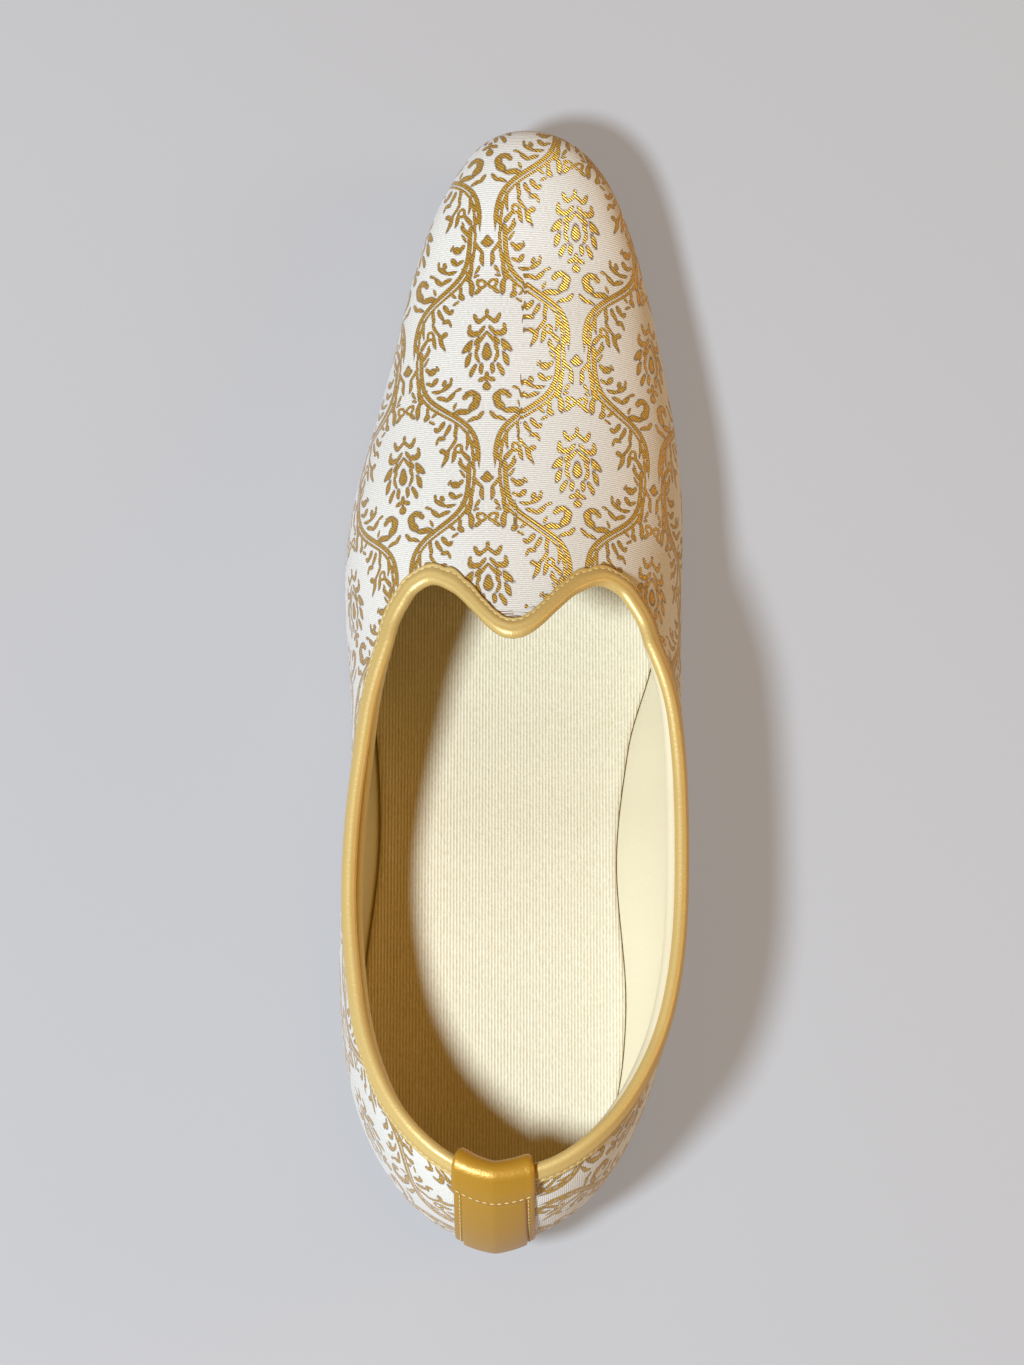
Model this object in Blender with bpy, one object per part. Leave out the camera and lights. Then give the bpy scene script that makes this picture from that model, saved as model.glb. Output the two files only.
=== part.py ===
"""Men's mojari, a low slip-on of brocade for the left foot, standing empty on its sole.

+Y points to the toe, +X to the inner side of the foot, +Z up, and the floor is z = 0. Lengths
are worked out from the back of the heel, and each solid is then moved back by MIDDLE, so that
the origin is at the centre of the shoe.
Every curved piece is worked out from one surface, the outside of the upper: its plan outline,
its ridge over the instep, and a section for each place along the shoe.
"""

import bpy
import numpy as np

# Driving sizes, in metres
LENGTH = 0.290  # over the upper, heel bulge to toe tip
BALL_WIDTH = 0.087  # the widest place of the plan outline
INSTEP_RISE = 0.0570  # tongue point above the sole
TOE_RISE = 0.0265  # toe box above the sole
SIDE_HEIGHT = 0.0465  # lowest place of the topline above the floor
BACK_HEIGHT = 0.0585  # topline at the back seam above the floor
THROAT_HEIGHT = 0.0515  # topline where the side meets the throat
SCALLOP_DEPTH = 0.0160  # how far the two scallops of the throat run forward
WALL = 0.0018  # brocade, stiffener and lining together
GAP = 0.0003  # clearance between two pieces that touch
SOLE_THICKNESS = 0.0050
SOLE_MARGIN = 0.0014  # how far the sole stands out past the upper's foot
SOLE_ROUND = 0.0008  # rounding of the sole's edges
HEEL_HEIGHT = 0.0100
HEEL_LENGTH = 0.0700
HEEL_TAPER = 0.0012  # how far the heel's foot is set in from its top
TOE_SPRING = 0.0080
INSOLE_THICKNESS = 0.0030
EQUATOR_RISE = 0.0095  # widest line of the upper above the sole, at heel, ball and toe
END_TUCK = 0.0050  # how far toe and heel draw in under their widest line
BINDING_SHEET = 0.0006  # thickness of the metallic binding
BINDING_OUTSIDE = 0.0046  # width of its outer leaf
BINDING_INSIDE = 0.0036  # width of its inner leaf
STRIP_WIDTH = 0.0150  # raised panel of the heel strip
FLANGE_WIDTH = 0.0022  # stitched edge on both sides of the panel
PANEL_THICKNESS = 0.0013
FLANGE_THICKNESS = 0.0006
STRIP_INSIDE = 0.0075  # how far the strip's cap hangs down inside the collar
MIDDLE = (LENGTH - GAP - PANEL_THICKNESS) / 2.0  # centre of the length, strip included

# How finely the pieces are cut into facets
QUARTER_COLUMNS = 16
VAMP_COLUMNS = 19
WALL_ROWS = 13
ROW_CROWDING = 1.45  # rows lie closer together near the foot of the wall
TOE_CROWDING = 0.35  # and columns towards the toe
SOLE_STEPS = 44

# Plan outline. Columns: share of LENGTH, outer side and inner side as shares of BALL_WIDTH.
OUTLINE = (
    (0.019, 0.229, 0.144),
    (0.053, 0.340, 0.266),
    (0.104, 0.430, 0.362),
    (0.173, 0.482, 0.436),
    (0.241, 0.494, 0.474),
    (0.360, 0.478, 0.490),
    (0.445, 0.466, 0.490),
    (0.513, 0.476, 0.492),
    (0.581, 0.490, 0.496),
    (0.649, 0.474, 0.500),
    (0.717, 0.420, 0.484),
    (0.785, 0.360, 0.448),
    (0.854, 0.306, 0.400),
    (0.922, 0.232, 0.334),
    (0.960, 0.165, 0.272),
    (0.990, 0.076, 0.168),
)
HEEL_TIP = -0.0535  # place of the heel's and the toe's tips across, as shares of BALL_WIDTH
TOE_TIP = 0.042

# Underside of the sole. Columns: share of LENGTH, share of the heel's height, of the toe spring.
SOLE_LINE = (
    (0.00, 1.00, 0.00),
    (0.26, 1.00, 0.00),
    (0.34, 0.84, 0.00),
    (0.42, 0.46, 0.00),
    (0.50, 0.11, 0.00),
    (0.56, 0.00, 0.00),
    (0.72, 0.00, 0.00),
    (0.81, 0.00, 0.10),
    (0.90, 0.00, 0.42),
    (1.00, 0.00, 1.00),
)

# Ridge over toe, instep and, over the opening, the foot that the last was made for.
# Columns: share of LENGTH, height above the sole from 0 at TOE_RISE to 1 at INSTEP_RISE.
RIDGE = (
    (0.00, 1.28),
    (0.20, 1.32),
    (0.35, 1.30),
    (0.44, 1.15),
    (0.51, 0.99),
    (0.58, 0.77),
    (0.65, 0.56),
    (0.72, 0.38),
    (0.80, 0.20),
    (0.88, 0.05),
    (1.00, 0.00),
)
TOE_ROUND = (0.240, 2.3)  # share of LENGTH over which the ridge runs down, and its roundness
HEEL_ROUND = (0.200, 2.0)

# Sections. Columns: share of LENGTH, roundness of the upper half, width of the foot of the
# wall as a share of the half width (outer, inner side), height of the widest line as a share
# of EQUATOR_RISE (outer, inner side), and lean of the wall to the inner side.
SECTIONS = (
    (0.00, 2.3, 0.90, 0.88, 1.0, 1.0, 0.04),
    (0.10, 2.3, 0.90, 0.82, 1.0, 1.1, 0.08),
    (0.20, 2.5, 0.88, 0.72, 1.2, 1.7, 0.10),
    (0.34, 2.7, 0.80, 0.58, 1.7, 2.3, 0.06),
    (0.44, 2.5, 0.86, 0.66, 1.6, 2.1, 0.04),
    (0.53, 2.2, 0.93, 0.84, 1.1, 1.4, 0.02),
    (0.62, 2.1, 0.95, 0.91, 1.0, 1.0, 0.01),
    (0.80, 2.1, 0.94, 0.92, 1.0, 1.0, 0.00),
    (1.00, 2.2, 0.93, 0.93, 1.0, 1.0, 0.00),
)

# Topline beside the opening. Columns: share of LENGTH, then how far it has risen from
# SIDE_HEIGHT to BACK_HEIGHT and to THROAT_HEIGHT.
TOPLINE = (
    (0.00, 1.00, 0.00),
    (0.05, 0.98, 0.00),
    (0.12, 0.62, 0.00),
    (0.20, 0.24, 0.00),
    (0.30, 0.03, 0.00),
    (0.38, 0.00, 0.03),
    (0.45, 0.00, 0.28),
    (0.52, 0.00, 1.00),
    (0.60, 0.00, 2.20),
)
THROAT_SHARE = 0.513  # where the sides of the topline end, as a share of LENGTH
TONGUE_SHIFT = 0.0012  # tongue point, to the inner side of the middle
TONGUE_BACK = 0.0005  # and behind the ends of the sides

# One scallop. Columns: share of the way from the side to the tongue point, share of the depth.
SCALLOP = (
    (0.00, 0.00),
    (0.06, 0.40),
    (0.13, 0.66),
    (0.22, 0.90),
    (0.34, 1.00),
    (0.51, 0.84),
    (0.68, 0.48),
    (0.84, 0.15),
    (1.00, 0.00),
)


def smooth(rows, column, at):
    """Value of a table's column at shares `at`: a cubic that never overshoots its rows."""
    knots = np.array([row[0] for row in rows])
    values = np.array([row[column] for row in rows])
    steps = np.diff(knots)
    slopes = np.diff(values) / steps
    both = slopes[:-1] * slopes[1:]
    total = np.where(both > 0, slopes[:-1] + slopes[1:], 1.0)
    inner = np.where(both > 0, 2.0 * both / total, 0.0)
    tangents = np.concatenate([slopes[:1], inner, slopes[-1:]])
    at = np.clip(at, knots[0], knots[-1])
    cell = np.clip(np.searchsorted(knots, at, side="right") - 1, 0, len(steps) - 1)
    t = (at - knots[cell]) / steps[cell]
    rise = (3.0 - 2.0 * t) * t**2 * (values[cell + 1] - values[cell])
    bend = tangents[cell] * (1.0 - t) ** 2 * t - tangents[cell + 1] * t**2 * (1.0 - t)
    return values[cell] + rise + bend * steps[cell]


def closed_curve(points, per_span):
    """Smooth closed curve through points: a periodic cubic spline over the chord lengths."""
    points = np.asarray(points, float)
    spans = np.linalg.norm(np.roll(points, -1, axis=0) - points, axis=1)
    count = len(points)
    matrix = np.zeros((count, count))
    right = np.zeros((count, 2))
    slopes = (np.roll(points, -1, axis=0) - points) / spans[:, None]
    for i in range(count):
        matrix[i, i - 1] = 1.0 / spans[i - 1]
        matrix[i, i] = 2.0 / spans[i - 1] + 2.0 / spans[i]
        matrix[i, (i + 1) % count] = 1.0 / spans[i]
        right[i] = 3.0 * (slopes[i - 1] / spans[i - 1] + slopes[i] / spans[i])
    tangents = np.linalg.solve(matrix, right)
    t = (np.arange(per_span) / per_span)[None, :, None]
    start, end = points[:, None], np.roll(points, -1, axis=0)[:, None]
    leave, arrive = tangents[:, None], np.roll(tangents, -1, axis=0)[:, None]
    reach = spans[:, None, None]
    curve = start + (3.0 - 2.0 * t) * t**2 * (end - start)
    curve += (leave * (1.0 - t) ** 2 * t - arrive * t**2 * (1.0 - t)) * reach
    return curve.reshape(-1, 2)


def plan_outline():
    """Plan outline as two arrays of points from heel tip to toe tip: outer side, inner side."""
    outer = [(-row[1] * BALL_WIDTH, row[0] * LENGTH) for row in OUTLINE]
    inner = [(row[2] * BALL_WIDTH, row[0] * LENGTH) for row in OUTLINE]
    heel, toe = (HEEL_TIP * BALL_WIDTH, 0.0), (TOE_TIP * BALL_WIDTH, LENGTH)
    curve = closed_curve([heel, *outer, toe, *inner[::-1]], 60)
    first = int(np.argmin(curve[:, 1]))
    curve = np.roll(curve, -first, axis=0)
    curve[:, 1] -= curve[0, 1]
    last = int(np.argmax(curve[:, 1]))
    curve[:, 1] *= LENGTH / curve[last, 1]
    return curve[: last + 1], np.vstack([curve[last:], curve[:1]])[::-1]


OUTER_SIDE, INNER_SIDE = plan_outline()


def sole_bottom(y):
    share = y / LENGTH
    heel = smooth(SOLE_LINE, 1, share) * (HEEL_HEIGHT + GAP)
    return heel + smooth(SOLE_LINE, 2, share) * TOE_SPRING


def sole_top(y):
    return sole_bottom(y) + SOLE_THICKNESS


def foot_line(y):
    """Lower edge of the upper's wall."""
    return sole_top(y) + GAP


def ridge_height(y):
    """Highest line of the surface, rounded down to the widest line at toe and heel."""
    share = y / LENGTH
    widest = foot_line(y) + EQUATOR_RISE
    rise = TOE_RISE + smooth(RIDGE, 1, share) * (INSTEP_RISE - TOE_RISE) - EQUATOR_RISE
    toe = np.clip((share - 1.0 + TOE_ROUND[0]) / TOE_ROUND[0], 0.0, 1.0)
    heel = np.clip((HEEL_ROUND[0] - share) / HEEL_ROUND[0], 0.0, 1.0)
    toe_fall = (1.0 - toe ** TOE_ROUND[1]) ** (1.0 / TOE_ROUND[1])
    heel_fall = (1.0 - heel ** HEEL_ROUND[1]) ** (1.0 / HEEL_ROUND[1])
    return widest + rise * toe_fall * heel_fall


def outside(x, y, z):
    """How far a point lies outside the upper's surface, along X: negative inside.

    Over its widest line a section is a superellipse up to the ridge. Under that line it draws
    in with the square of the depth, down to the foot of the wall.
    """
    share = np.clip(y / LENGTH, 0.0, 1.0)
    low = foot_line(y)
    lean = smooth(SECTIONS, 6, share)
    result = None
    for side, sign in ((0, -1.0), (1, 1.0)):
        widest = low + EQUATOR_RISE * smooth(SECTIONS, 4 + side, share)
        roundness = smooth(SECTIONS, 1, share)
        top = np.maximum(ridge_height(np.clip(y, 0.0, LENGTH)), widest + WALL)
        up = np.clip((z - widest) / (top - widest), 0.0, 1.0)
        over = (1.0 - up**roundness) ** (1.0 / roundness)
        down = np.clip((widest - z) / (widest - low), 0.0, 1.4)
        under = 1.0 - (1.0 - smooth(SECTIONS, 2 + side, share)) * down**2
        middle = LENGTH / 2.0
        along = middle + (y - middle) * (1.0 + END_TUCK / middle * down**2)
        left = np.interp(along, OUTER_SIDE[:, 1], OUTER_SIDE[:, 0])
        right = np.interp(along, INNER_SIDE[:, 1], INNER_SIDE[:, 0])
        past = np.maximum(np.maximum(-along, along - LENGTH), 0.0)
        centre = (left + right) / 2.0 + lean * np.maximum(z - widest, 0.0)
        distance = sign * (x - centre) - (right - left) / 2.0 * over * under + past
        result = distance if result is None else np.where(x > centre, distance, result)
    return result


def first_crossing(start, end):
    """Point between start (inside) and end (outside) where the surface is crossed."""
    low = np.zeros(start.shape[:-1])
    high = np.ones(start.shape[:-1])
    for _ in range(34):
        half = (low + high) / 2.0
        point = start + (end - start) * half[..., None]
        inside = outside(point[..., 0], point[..., 1], point[..., 2]) < 0.0
        low = np.where(inside, half, low)
        high = np.where(inside, high, half)
    return start + (end - start) * low[..., None]


def topline_height(y):
    share = y / LENGTH
    back = smooth(TOPLINE, 1, share) * (BACK_HEIGHT - SIDE_HEIGHT)
    return SIDE_HEIGHT + back + smooth(TOPLINE, 2, share) * (THROAT_HEIGHT - SIDE_HEIGHT)


def arc_length(points):
    """Running length along the last but one axis."""
    steps = np.linalg.norm(np.diff(points, axis=-2), axis=-1)
    zero = np.zeros(steps.shape[:-1] + (1,))
    return np.concatenate([zero, np.cumsum(steps, axis=-1)], axis=-1)


def along_curve(curve, at):
    """Points of one curve at running lengths `at`."""
    length = arc_length(curve)
    return np.stack([np.interp(at, length, curve[:, k]) for k in range(curve.shape[1])], axis=-1)


def strip_edges():
    """Distances across the heel strip, from its middle, where its facets change."""
    half = STRIP_WIDTH / 2.0
    step = PANEL_THICKNESS - FLANGE_THICKNESS
    return np.array([0.0, half / 3.0, half * 2.0 / 3.0, half, half + step, half + FLANGE_WIDTH])


def collar_side(foot, outward):
    """Topline point for each outline point, looked for along its inward direction."""
    low = np.zeros(len(foot))
    high = np.full(len(foot), BALL_WIDTH / 3.0)
    for _ in range(34):
        half = (low + high) / 2.0
        point = foot - outward * half[:, None]
        off = outside(point[:, 0], point[:, 1], topline_height(point[:, 1])) > 0.0
        low = np.where(off, half, low)
        high = np.where(off, high, half)
    point = foot - outward * high[:, None]
    return np.column_stack([point, topline_height(point[:, 1])])


def side_columns(side):
    """Outline points, outward directions and topline points of one side, heel to throat."""
    length = arc_length(side)
    throat = np.interp(THROAT_SHARE * LENGTH, side[:, 1], length)
    edges = strip_edges()[1:]
    near = np.interp(edges, np.abs(side[: len(side) // 3, 0] - side[0, 0]), length[: len(side) // 3])
    spread = np.linspace(0.0, 1.0, QUARTER_COLUMNS + 1)[1:] ** 1.15
    at = np.concatenate([[0.0], near, near[-1] + (throat - near[-1]) * spread])
    foot = along_curve(side, at)
    tangent = along_curve(side, at + 0.0005) - along_curve(side, np.maximum(at - 0.0005, 0.0))
    sign = np.sign(side[len(side) // 2, 0])
    normal = np.column_stack([sign * tangent[:, 1], -sign * tangent[:, 0]])
    normal /= np.linalg.norm(normal, axis=1)[:, None]
    heel_share = np.clip((at - near[-1]) / (BALL_WIDTH / 2.0), 0.0, 1.0)[:, None]
    outward = normal * heel_share + np.array([[0.0, -1.0]]) * (1.0 - heel_share)
    outward /= np.linalg.norm(outward, axis=1)[:, None]
    return foot, outward, collar_side(foot, outward), throat


def throat_half(end, tongue):
    """One scallop in plan, from the end of the side to the tongue point."""
    share = np.linspace(0.0, 1.0, 400)
    across = end[0] + (tongue[0] - end[0]) * share
    straight = end[1] + (tongue[1] - end[1]) * share
    return np.column_stack([across, straight + SCALLOP_DEPTH * smooth(SCALLOP, 1, share)])


def surface_height(plan):
    """Height of the surface above plan points, found upwards from the widest line."""
    base = np.column_stack([plan, foot_line(plan[:, 1]) + EQUATOR_RISE * 2.0])
    top = base.copy()
    top[:, 2] = 2.0 * INSTEP_RISE + TOE_SPRING
    return first_crossing(base, top)


def vamp_columns(side, throat, end, tongue):
    """Outline, base and topline points of one half of the vamp, side to tongue."""
    length = arc_length(side)
    even = np.linspace(0.0, 1.0, VAMP_COLUMNS + 1)[1:]
    share = even * (1.0 + TOE_CROWDING) - TOE_CROWDING * even**2
    foot = along_curve(side, throat + (length[-1] - throat) * share)
    curve = throat_half(end, tongue)
    plan = along_curve(curve, arc_length(curve)[-1] * share)
    return foot, surface_height(plan)


class Wall:
    """The upper's outside as curves from the foot of the wall to the topline, all the way round."""

    def __init__(self):
        halves = []
        sides = [side_columns(side) for side in (OUTER_SIDE, INNER_SIDE)]
        middle = (sides[0][2][-1] + sides[1][2][-1]) / 2.0
        tongue = np.array([TONGUE_SHIFT, middle[1] - TONGUE_BACK])
        for side, (foot, outward, collar, throat) in zip((OUTER_SIDE, INNER_SIDE), sides):
            front_foot, front_collar = vamp_columns(side, throat, collar[-1, :2], tongue)
            direction = front_foot - front_collar[:, :2]
            direction /= np.linalg.norm(direction, axis=1)[:, None]
            fade = np.clip(1.0 - np.arange(1, len(front_foot) + 1) / 6.0, 0.0, 1.0)
            behind = np.concatenate([np.ones(len(foot)), fade**2]) * BALL_WIDTH / 5.0
            halves.append(
                (
                    np.vstack([foot, front_foot]),
                    np.vstack([outward, direction]),
                    np.vstack([collar, front_collar]),
                    behind,
                )
            )
        joined = [np.concatenate([a, b[-2:0:-1]]) for a, b in zip(*halves)]
        foot, outward, self.collar, behind = joined
        self.strip_count = len(strip_edges())
        self.tongue = self.strip_count + QUARTER_COLUMNS + VAMP_COLUMNS - 1
        self.curves = self.trace(foot, outward, behind)
        self.lengths = arc_length(self.curves)
        self.normals = self.surface_normals()

    def trace(self, foot, outward, behind, samples=150):
        """Curves on the surface, hit by rays from a base point inside to a frame outside."""
        base = self.collar.copy()
        base[:, :2] -= outward * behind[:, None]
        base[:, 2] = foot_line(base[:, 1]) + EQUATOR_RISE
        reach = np.linalg.norm(foot - base[:, :2], axis=1) + 0.004
        low = foot_line(foot[:, 1]) - 0.003
        # The last ray goes through the topline point. The frame is a side wall and a lid, and
        # the lid is lowered where that ray leaves through the side wall.
        slope = (self.collar[:, 2] - base[:, 2]) / np.maximum(behind, 1e-6)
        high = np.minimum(self.collar[:, 2] + 0.020, base[:, 2] + slope * reach)
        stop = (high - base[:, 2]) / slope
        up = np.linspace(0.0, 1.0, samples)[None, :]
        back = np.linspace(0.0, 1.0, samples + 1)[None, 1:]
        side_r = np.repeat(reach[:, None], samples, axis=1)
        side_z = low[:, None] + (high - low)[:, None] * up
        top_r = reach[:, None] + (stop - reach)[:, None] * back
        top_z = np.repeat(high[:, None], samples, axis=1)
        radius = np.concatenate([side_r, top_r], axis=1)
        height = np.concatenate([side_z, top_z], axis=1)
        start = np.repeat(base[:, None, :], radius.shape[1], axis=1)
        end = np.concatenate(
            [base[:, None, :2] + outward[:, None, :] * radius[..., None], height[..., None]], axis=2
        )
        points = first_crossing(start, end)
        return self.cut_at_foot(points)

    def cut_at_foot(self, points):
        """Each curve starts where it comes up through the foot line."""
        over = points[..., 2] - foot_line(points[..., 1])
        first = np.argmax(over > 0.0, axis=1)
        first = np.maximum(first, 1)
        rows = np.arange(len(points))
        a, b = over[rows, first - 1], over[rows, first]
        share = (a / (a - b))[:, None]
        start = points[rows, first - 1] * (1.0 - share) + points[rows, first] * share
        index = np.arange(points.shape[1])[None, :]
        return np.where((index < first[:, None])[..., None], start[:, None, :], points)

    def sample(self, values, at):
        """Values along the curves at running lengths `at`, an array of columns by rows."""
        lengths = self.lengths
        cell = (lengths[:, None, :] <= at[..., None]).sum(axis=-1) - 1
        cell = np.clip(cell, 0, lengths.shape[1] - 2)
        rows = np.arange(len(lengths))[:, None]
        span = np.maximum(lengths[rows, cell + 1] - lengths[rows, cell], 1e-12)
        share = np.clip((at - lengths[rows, cell]) / span, 0.0, 1.0)[..., None]
        return values[rows, cell] * (1.0 - share) + values[rows, cell + 1] * share

    def surface_normals(self, rows=60):
        """Outward unit normals, on a regular grid of rows, smoothed from neighbour curves."""
        total = self.lengths[:, -1:]
        self.normal_rows = np.linspace(0.0, 1.0, rows)[None, :] * total
        grid = self.sample(self.curves, self.normal_rows)
        around = np.roll(grid, -1, axis=0) - np.roll(grid, 1, axis=0)
        up = np.gradient(grid, axis=1)
        normal = np.cross(up, around)
        normal /= np.maximum(np.linalg.norm(normal, axis=-1), 1e-12)[..., None]
        return normal

    def at(self, from_edge, offset):
        """Points a distance from the topline edge, down the wall, and an offset off its outside.

        A negative distance lies past the edge, straight on. Both are arrays that fit
        columns by rows.
        """
        shape = (len(self.curves), np.shape(from_edge)[-1])
        from_edge = np.broadcast_to(from_edge, shape)
        offset = np.broadcast_to(offset, shape)[..., None]
        total = self.lengths[:, -1:]
        place = total - np.maximum(from_edge, 0.0)
        point = self.sample(self.curves, place)
        edge = self.curves[:, -1]
        onward = edge - self.sample(self.curves, total - 0.0015)[:, 0]
        onward /= np.linalg.norm(onward, axis=1)[:, None]
        point = point + onward[:, None, :] * np.maximum(-from_edge, 0.0)[..., None]
        share = place / total * (self.normals.shape[1] - 1)
        cell = np.clip(share.astype(int), 0, self.normals.shape[1] - 2)
        rows = np.arange(len(self.curves))[:, None]
        part = (share - cell)[..., None]
        normal = self.normals[rows, cell] * (1.0 - part) + self.normals[rows, cell + 1] * part
        normal /= np.linalg.norm(normal, axis=-1)[..., None]
        return point + normal * offset

    def slant(self):
        """Sine of the angle between each curve and the topline, so that a band keeps its width."""
        edge = self.curves[:, -1]
        tangent = np.roll(edge, -1, axis=0) - np.roll(edge, 1, axis=0)
        tangent[self.tongue] = edge[self.tongue + 1] - edge[self.tongue]
        tangent /= np.linalg.norm(tangent, axis=1)[:, None]
        down = self.sample(self.curves, self.lengths[:, -1:] - 0.003)[:, 0] - edge
        down /= np.linalg.norm(down, axis=1)[:, None]
        return np.clip(np.linalg.norm(np.cross(tangent, down), axis=1), 0.45, 1.0)


WALL_FORM = Wall()


def solid(name, points, faces, colour, roughness, metallic):
    """One closed object in its own material."""
    mesh = bpy.data.meshes.new(name)
    centred = np.asarray(points) - np.array([0.0, MIDDLE, 0.0])
    mesh.from_pydata([tuple(point) for point in centred], [], [tuple(face) for face in faces])
    mesh.shade_smooth()
    mesh.set_sharp_from_angle(angle=np.radians(35.0))
    material = bpy.data.materials.new(name)
    material.use_nodes = True
    shader = material.node_tree.nodes["Principled BSDF"]
    shader.inputs["Base Color"].default_value = (*colour, 1.0)
    shader.inputs["Roughness"].default_value = roughness
    shader.inputs["Metallic"].default_value = metallic
    mesh.materials.append(material)
    thing = bpy.data.objects.new(name, mesh)
    bpy.context.scene.collection.objects.link(thing)
    return thing


def ring_faces(columns, rows, closed_columns=True):
    """Quads of a grid that closes on itself row-wise, and column-wise if asked."""
    faces = []
    for i in range(columns if closed_columns else columns - 1):
        j = (i + 1) % columns
        for k in range(rows):
            m = (k + 1) % rows
            faces.append((i * rows + k, j * rows + k, j * rows + m, i * rows + m))
    if not closed_columns:
        faces.append(tuple(range(rows)))
        faces.append(tuple(range((columns - 1) * rows, columns * rows))[::-1])
    return faces


def quads_to_triangles(faces):
    triangles = []
    for face in faces:
        if len(face) == 4:
            triangles.append((face[0], face[1], face[2]))
            triangles.append((face[0], face[2], face[3]))
        else:
            triangles.append(face)
    return triangles


def horizontal(vectors):
    flat = vectors * np.array([1.0, 1.0, 0.0])
    return flat / np.linalg.norm(flat, axis=-1)[..., None]


def wall_rows():
    """Distances of the upper's facet rows from the topline, columns by rows, foot first."""
    leaf = BINDING_OUTSIDE / WALL_FORM.slant()
    total = WALL_FORM.lengths[:, -1]
    share = (np.arange(WALL_ROWS) / WALL_ROWS) ** ROW_CROWDING
    below = total[:, None] - (total - leaf)[:, None] * share[None, :]
    return np.column_stack([below, leaf, leaf / 2.0, np.zeros(len(leaf))])


def upper():
    """One hollow solid: outside, topline edge, inside, and an open foot all the way round."""
    rows = wall_rows()
    outer = WALL_FORM.at(rows, 0.0)
    inner = WALL_FORM.at(rows, -WALL)
    normal = WALL_FORM.normals[:, 0]
    steepness = np.clip(np.linalg.norm(normal[:, :2], axis=1), 0.5, 1.0)[:, None]
    inner[:, 0] = outer[:, 0] - horizontal(normal) * WALL / steepness
    grid = np.concatenate([outer, inner[:, ::-1]], axis=1)
    columns, count = grid.shape[:2]
    faces = quads_to_triangles([f[::-1] for f in ring_faces(columns, count)])
    solid("upper", grid.reshape(-1, 3), faces, (0.84, 0.76, 0.60), 0.55, 0.0)
    return outer[:, 0], inner[:, 0]


def roll(radius, angles):
    """Distances and offsets of an arc around the topline edge, from outside to inside."""
    return -radius * np.sin(angles), -WALL / 2.0 + radius * np.cos(angles)


def collar_binding():
    """A thin sheet folded over the topline, its two leaves on both faces of the wall."""
    columns = len(WALL_FORM.curves)
    ones = np.ones((columns, 1))
    outside_leaf = (BINDING_OUTSIDE / WALL_FORM.slant())[:, None]
    inside_leaf = (BINDING_INSIDE / WALL_FORM.slant())[:, None]
    face = GAP + BINDING_SHEET
    arc, lift = roll(WALL / 2.0 + face, np.linspace(0.0, np.pi, 5))
    distances = [
        outside_leaf,
        outside_leaf / 2.0,
        ones * arc,
        inside_leaf / 2.0,
        inside_leaf,
        inside_leaf,
        inside_leaf / 2.0,
        ones * -GAP,
        ones * -GAP,
        outside_leaf / 2.0,
        outside_leaf,
    ]
    far = -(WALL + face)
    near = -(WALL + GAP)
    offsets = [face, face, *lift, far, far, near, near, near, GAP, GAP, GAP]
    grid = WALL_FORM.at(np.hstack(distances), np.array(offsets)[None, :])
    count = grid.shape[1]
    faces = quads_to_triangles([f[::-1] for f in ring_faces(columns, count)])
    solid("collar_binding", grid.reshape(-1, 3), faces, (0.72, 0.52, 0.22), 0.32, 0.7)


def heel_strip():
    """The tape over the back seam: up the heel, over the binding and down inside the collar."""
    reach = WALL_FORM.strip_count
    columns = len(WALL_FORM.curves)
    chosen = np.concatenate([np.arange(columns - reach + 1, columns), np.arange(reach)])
    edges = strip_edges()
    across = np.concatenate([-edges[:0:-1], edges])
    on_panel = np.abs(across) < STRIP_WIDTH / 2.0 + GAP / 2.0
    thickness = np.zeros(columns)
    thickness[chosen] = np.where(on_panel, PANEL_THICKNESS, FLANGE_THICKNESS)
    leaf = BINDING_OUTSIDE / WALL_FORM.slant()
    over = 2.0 * GAP + BINDING_SHEET
    below = wall_rows()[:, :WALL_ROWS]
    below[:, 0] -= GAP + PANEL_THICKNESS
    layers = []
    for depth in (np.zeros(columns), thickness):
        rows = [*below.T, leaf + GAP + depth, leaf + GAP + depth, leaf / 2.0]
        lifts = [GAP + depth] * (WALL_ROWS + 1) + [over + depth] * 2
        for angle in np.linspace(0.0, np.pi, 7):
            arc, lift = roll(WALL / 2.0 + over + depth, angle)
            rows.append(arc)
            lifts.append(lift)
        rows.extend([np.full(columns, STRIP_INSIDE / 2.0), np.full(columns, STRIP_INSIDE)])
        lifts.extend([-WALL - over - depth] * 2)
        layers.append(WALL_FORM.at(np.column_stack(rows), np.column_stack(lifts))[chosen])
    grid = np.concatenate([layers[1], layers[0][:, ::-1]], axis=1)
    count = grid.shape[1]
    faces = ring_faces(len(chosen), count, closed_columns=False)
    ends = []
    for face in faces[-2:]:
        for k in range(count // 2 - 1):
            ends.append((face[k], face[k + 1], face[count - 2 - k], face[count - 1 - k]))
    faces = quads_to_triangles([face[::-1] for face in faces[:-2] + ends])
    solid("heel_strip", grid.reshape(-1, 3), faces, (0.70, 0.50, 0.20), 0.30, 0.7)


def two_sides(edge):
    """An outline split at its ends into its outer and inner side, both from heel to toe."""
    heel, toe = int(np.argmin(edge[:, 1])), int(np.argmax(edge[:, 1]))
    rolled = np.roll(edge, -heel, axis=0)
    toe = (toe - heel) % len(edge)
    outer, inner = rolled[: toe + 1], np.vstack([rolled[toe:], rolled[:1]])[::-1]
    return outer, inner


def inset(edge, distance):
    """A closed outline moved inwards, or outwards if the distance is negative."""
    tangent = np.roll(edge, -1, axis=0) - np.roll(edge, 1, axis=0)
    normal = np.column_stack([-tangent[:, 1], tangent[:, 0]])
    normal /= np.linalg.norm(normal, axis=1)[:, None]
    return edge[:, :2] - normal * distance


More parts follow.
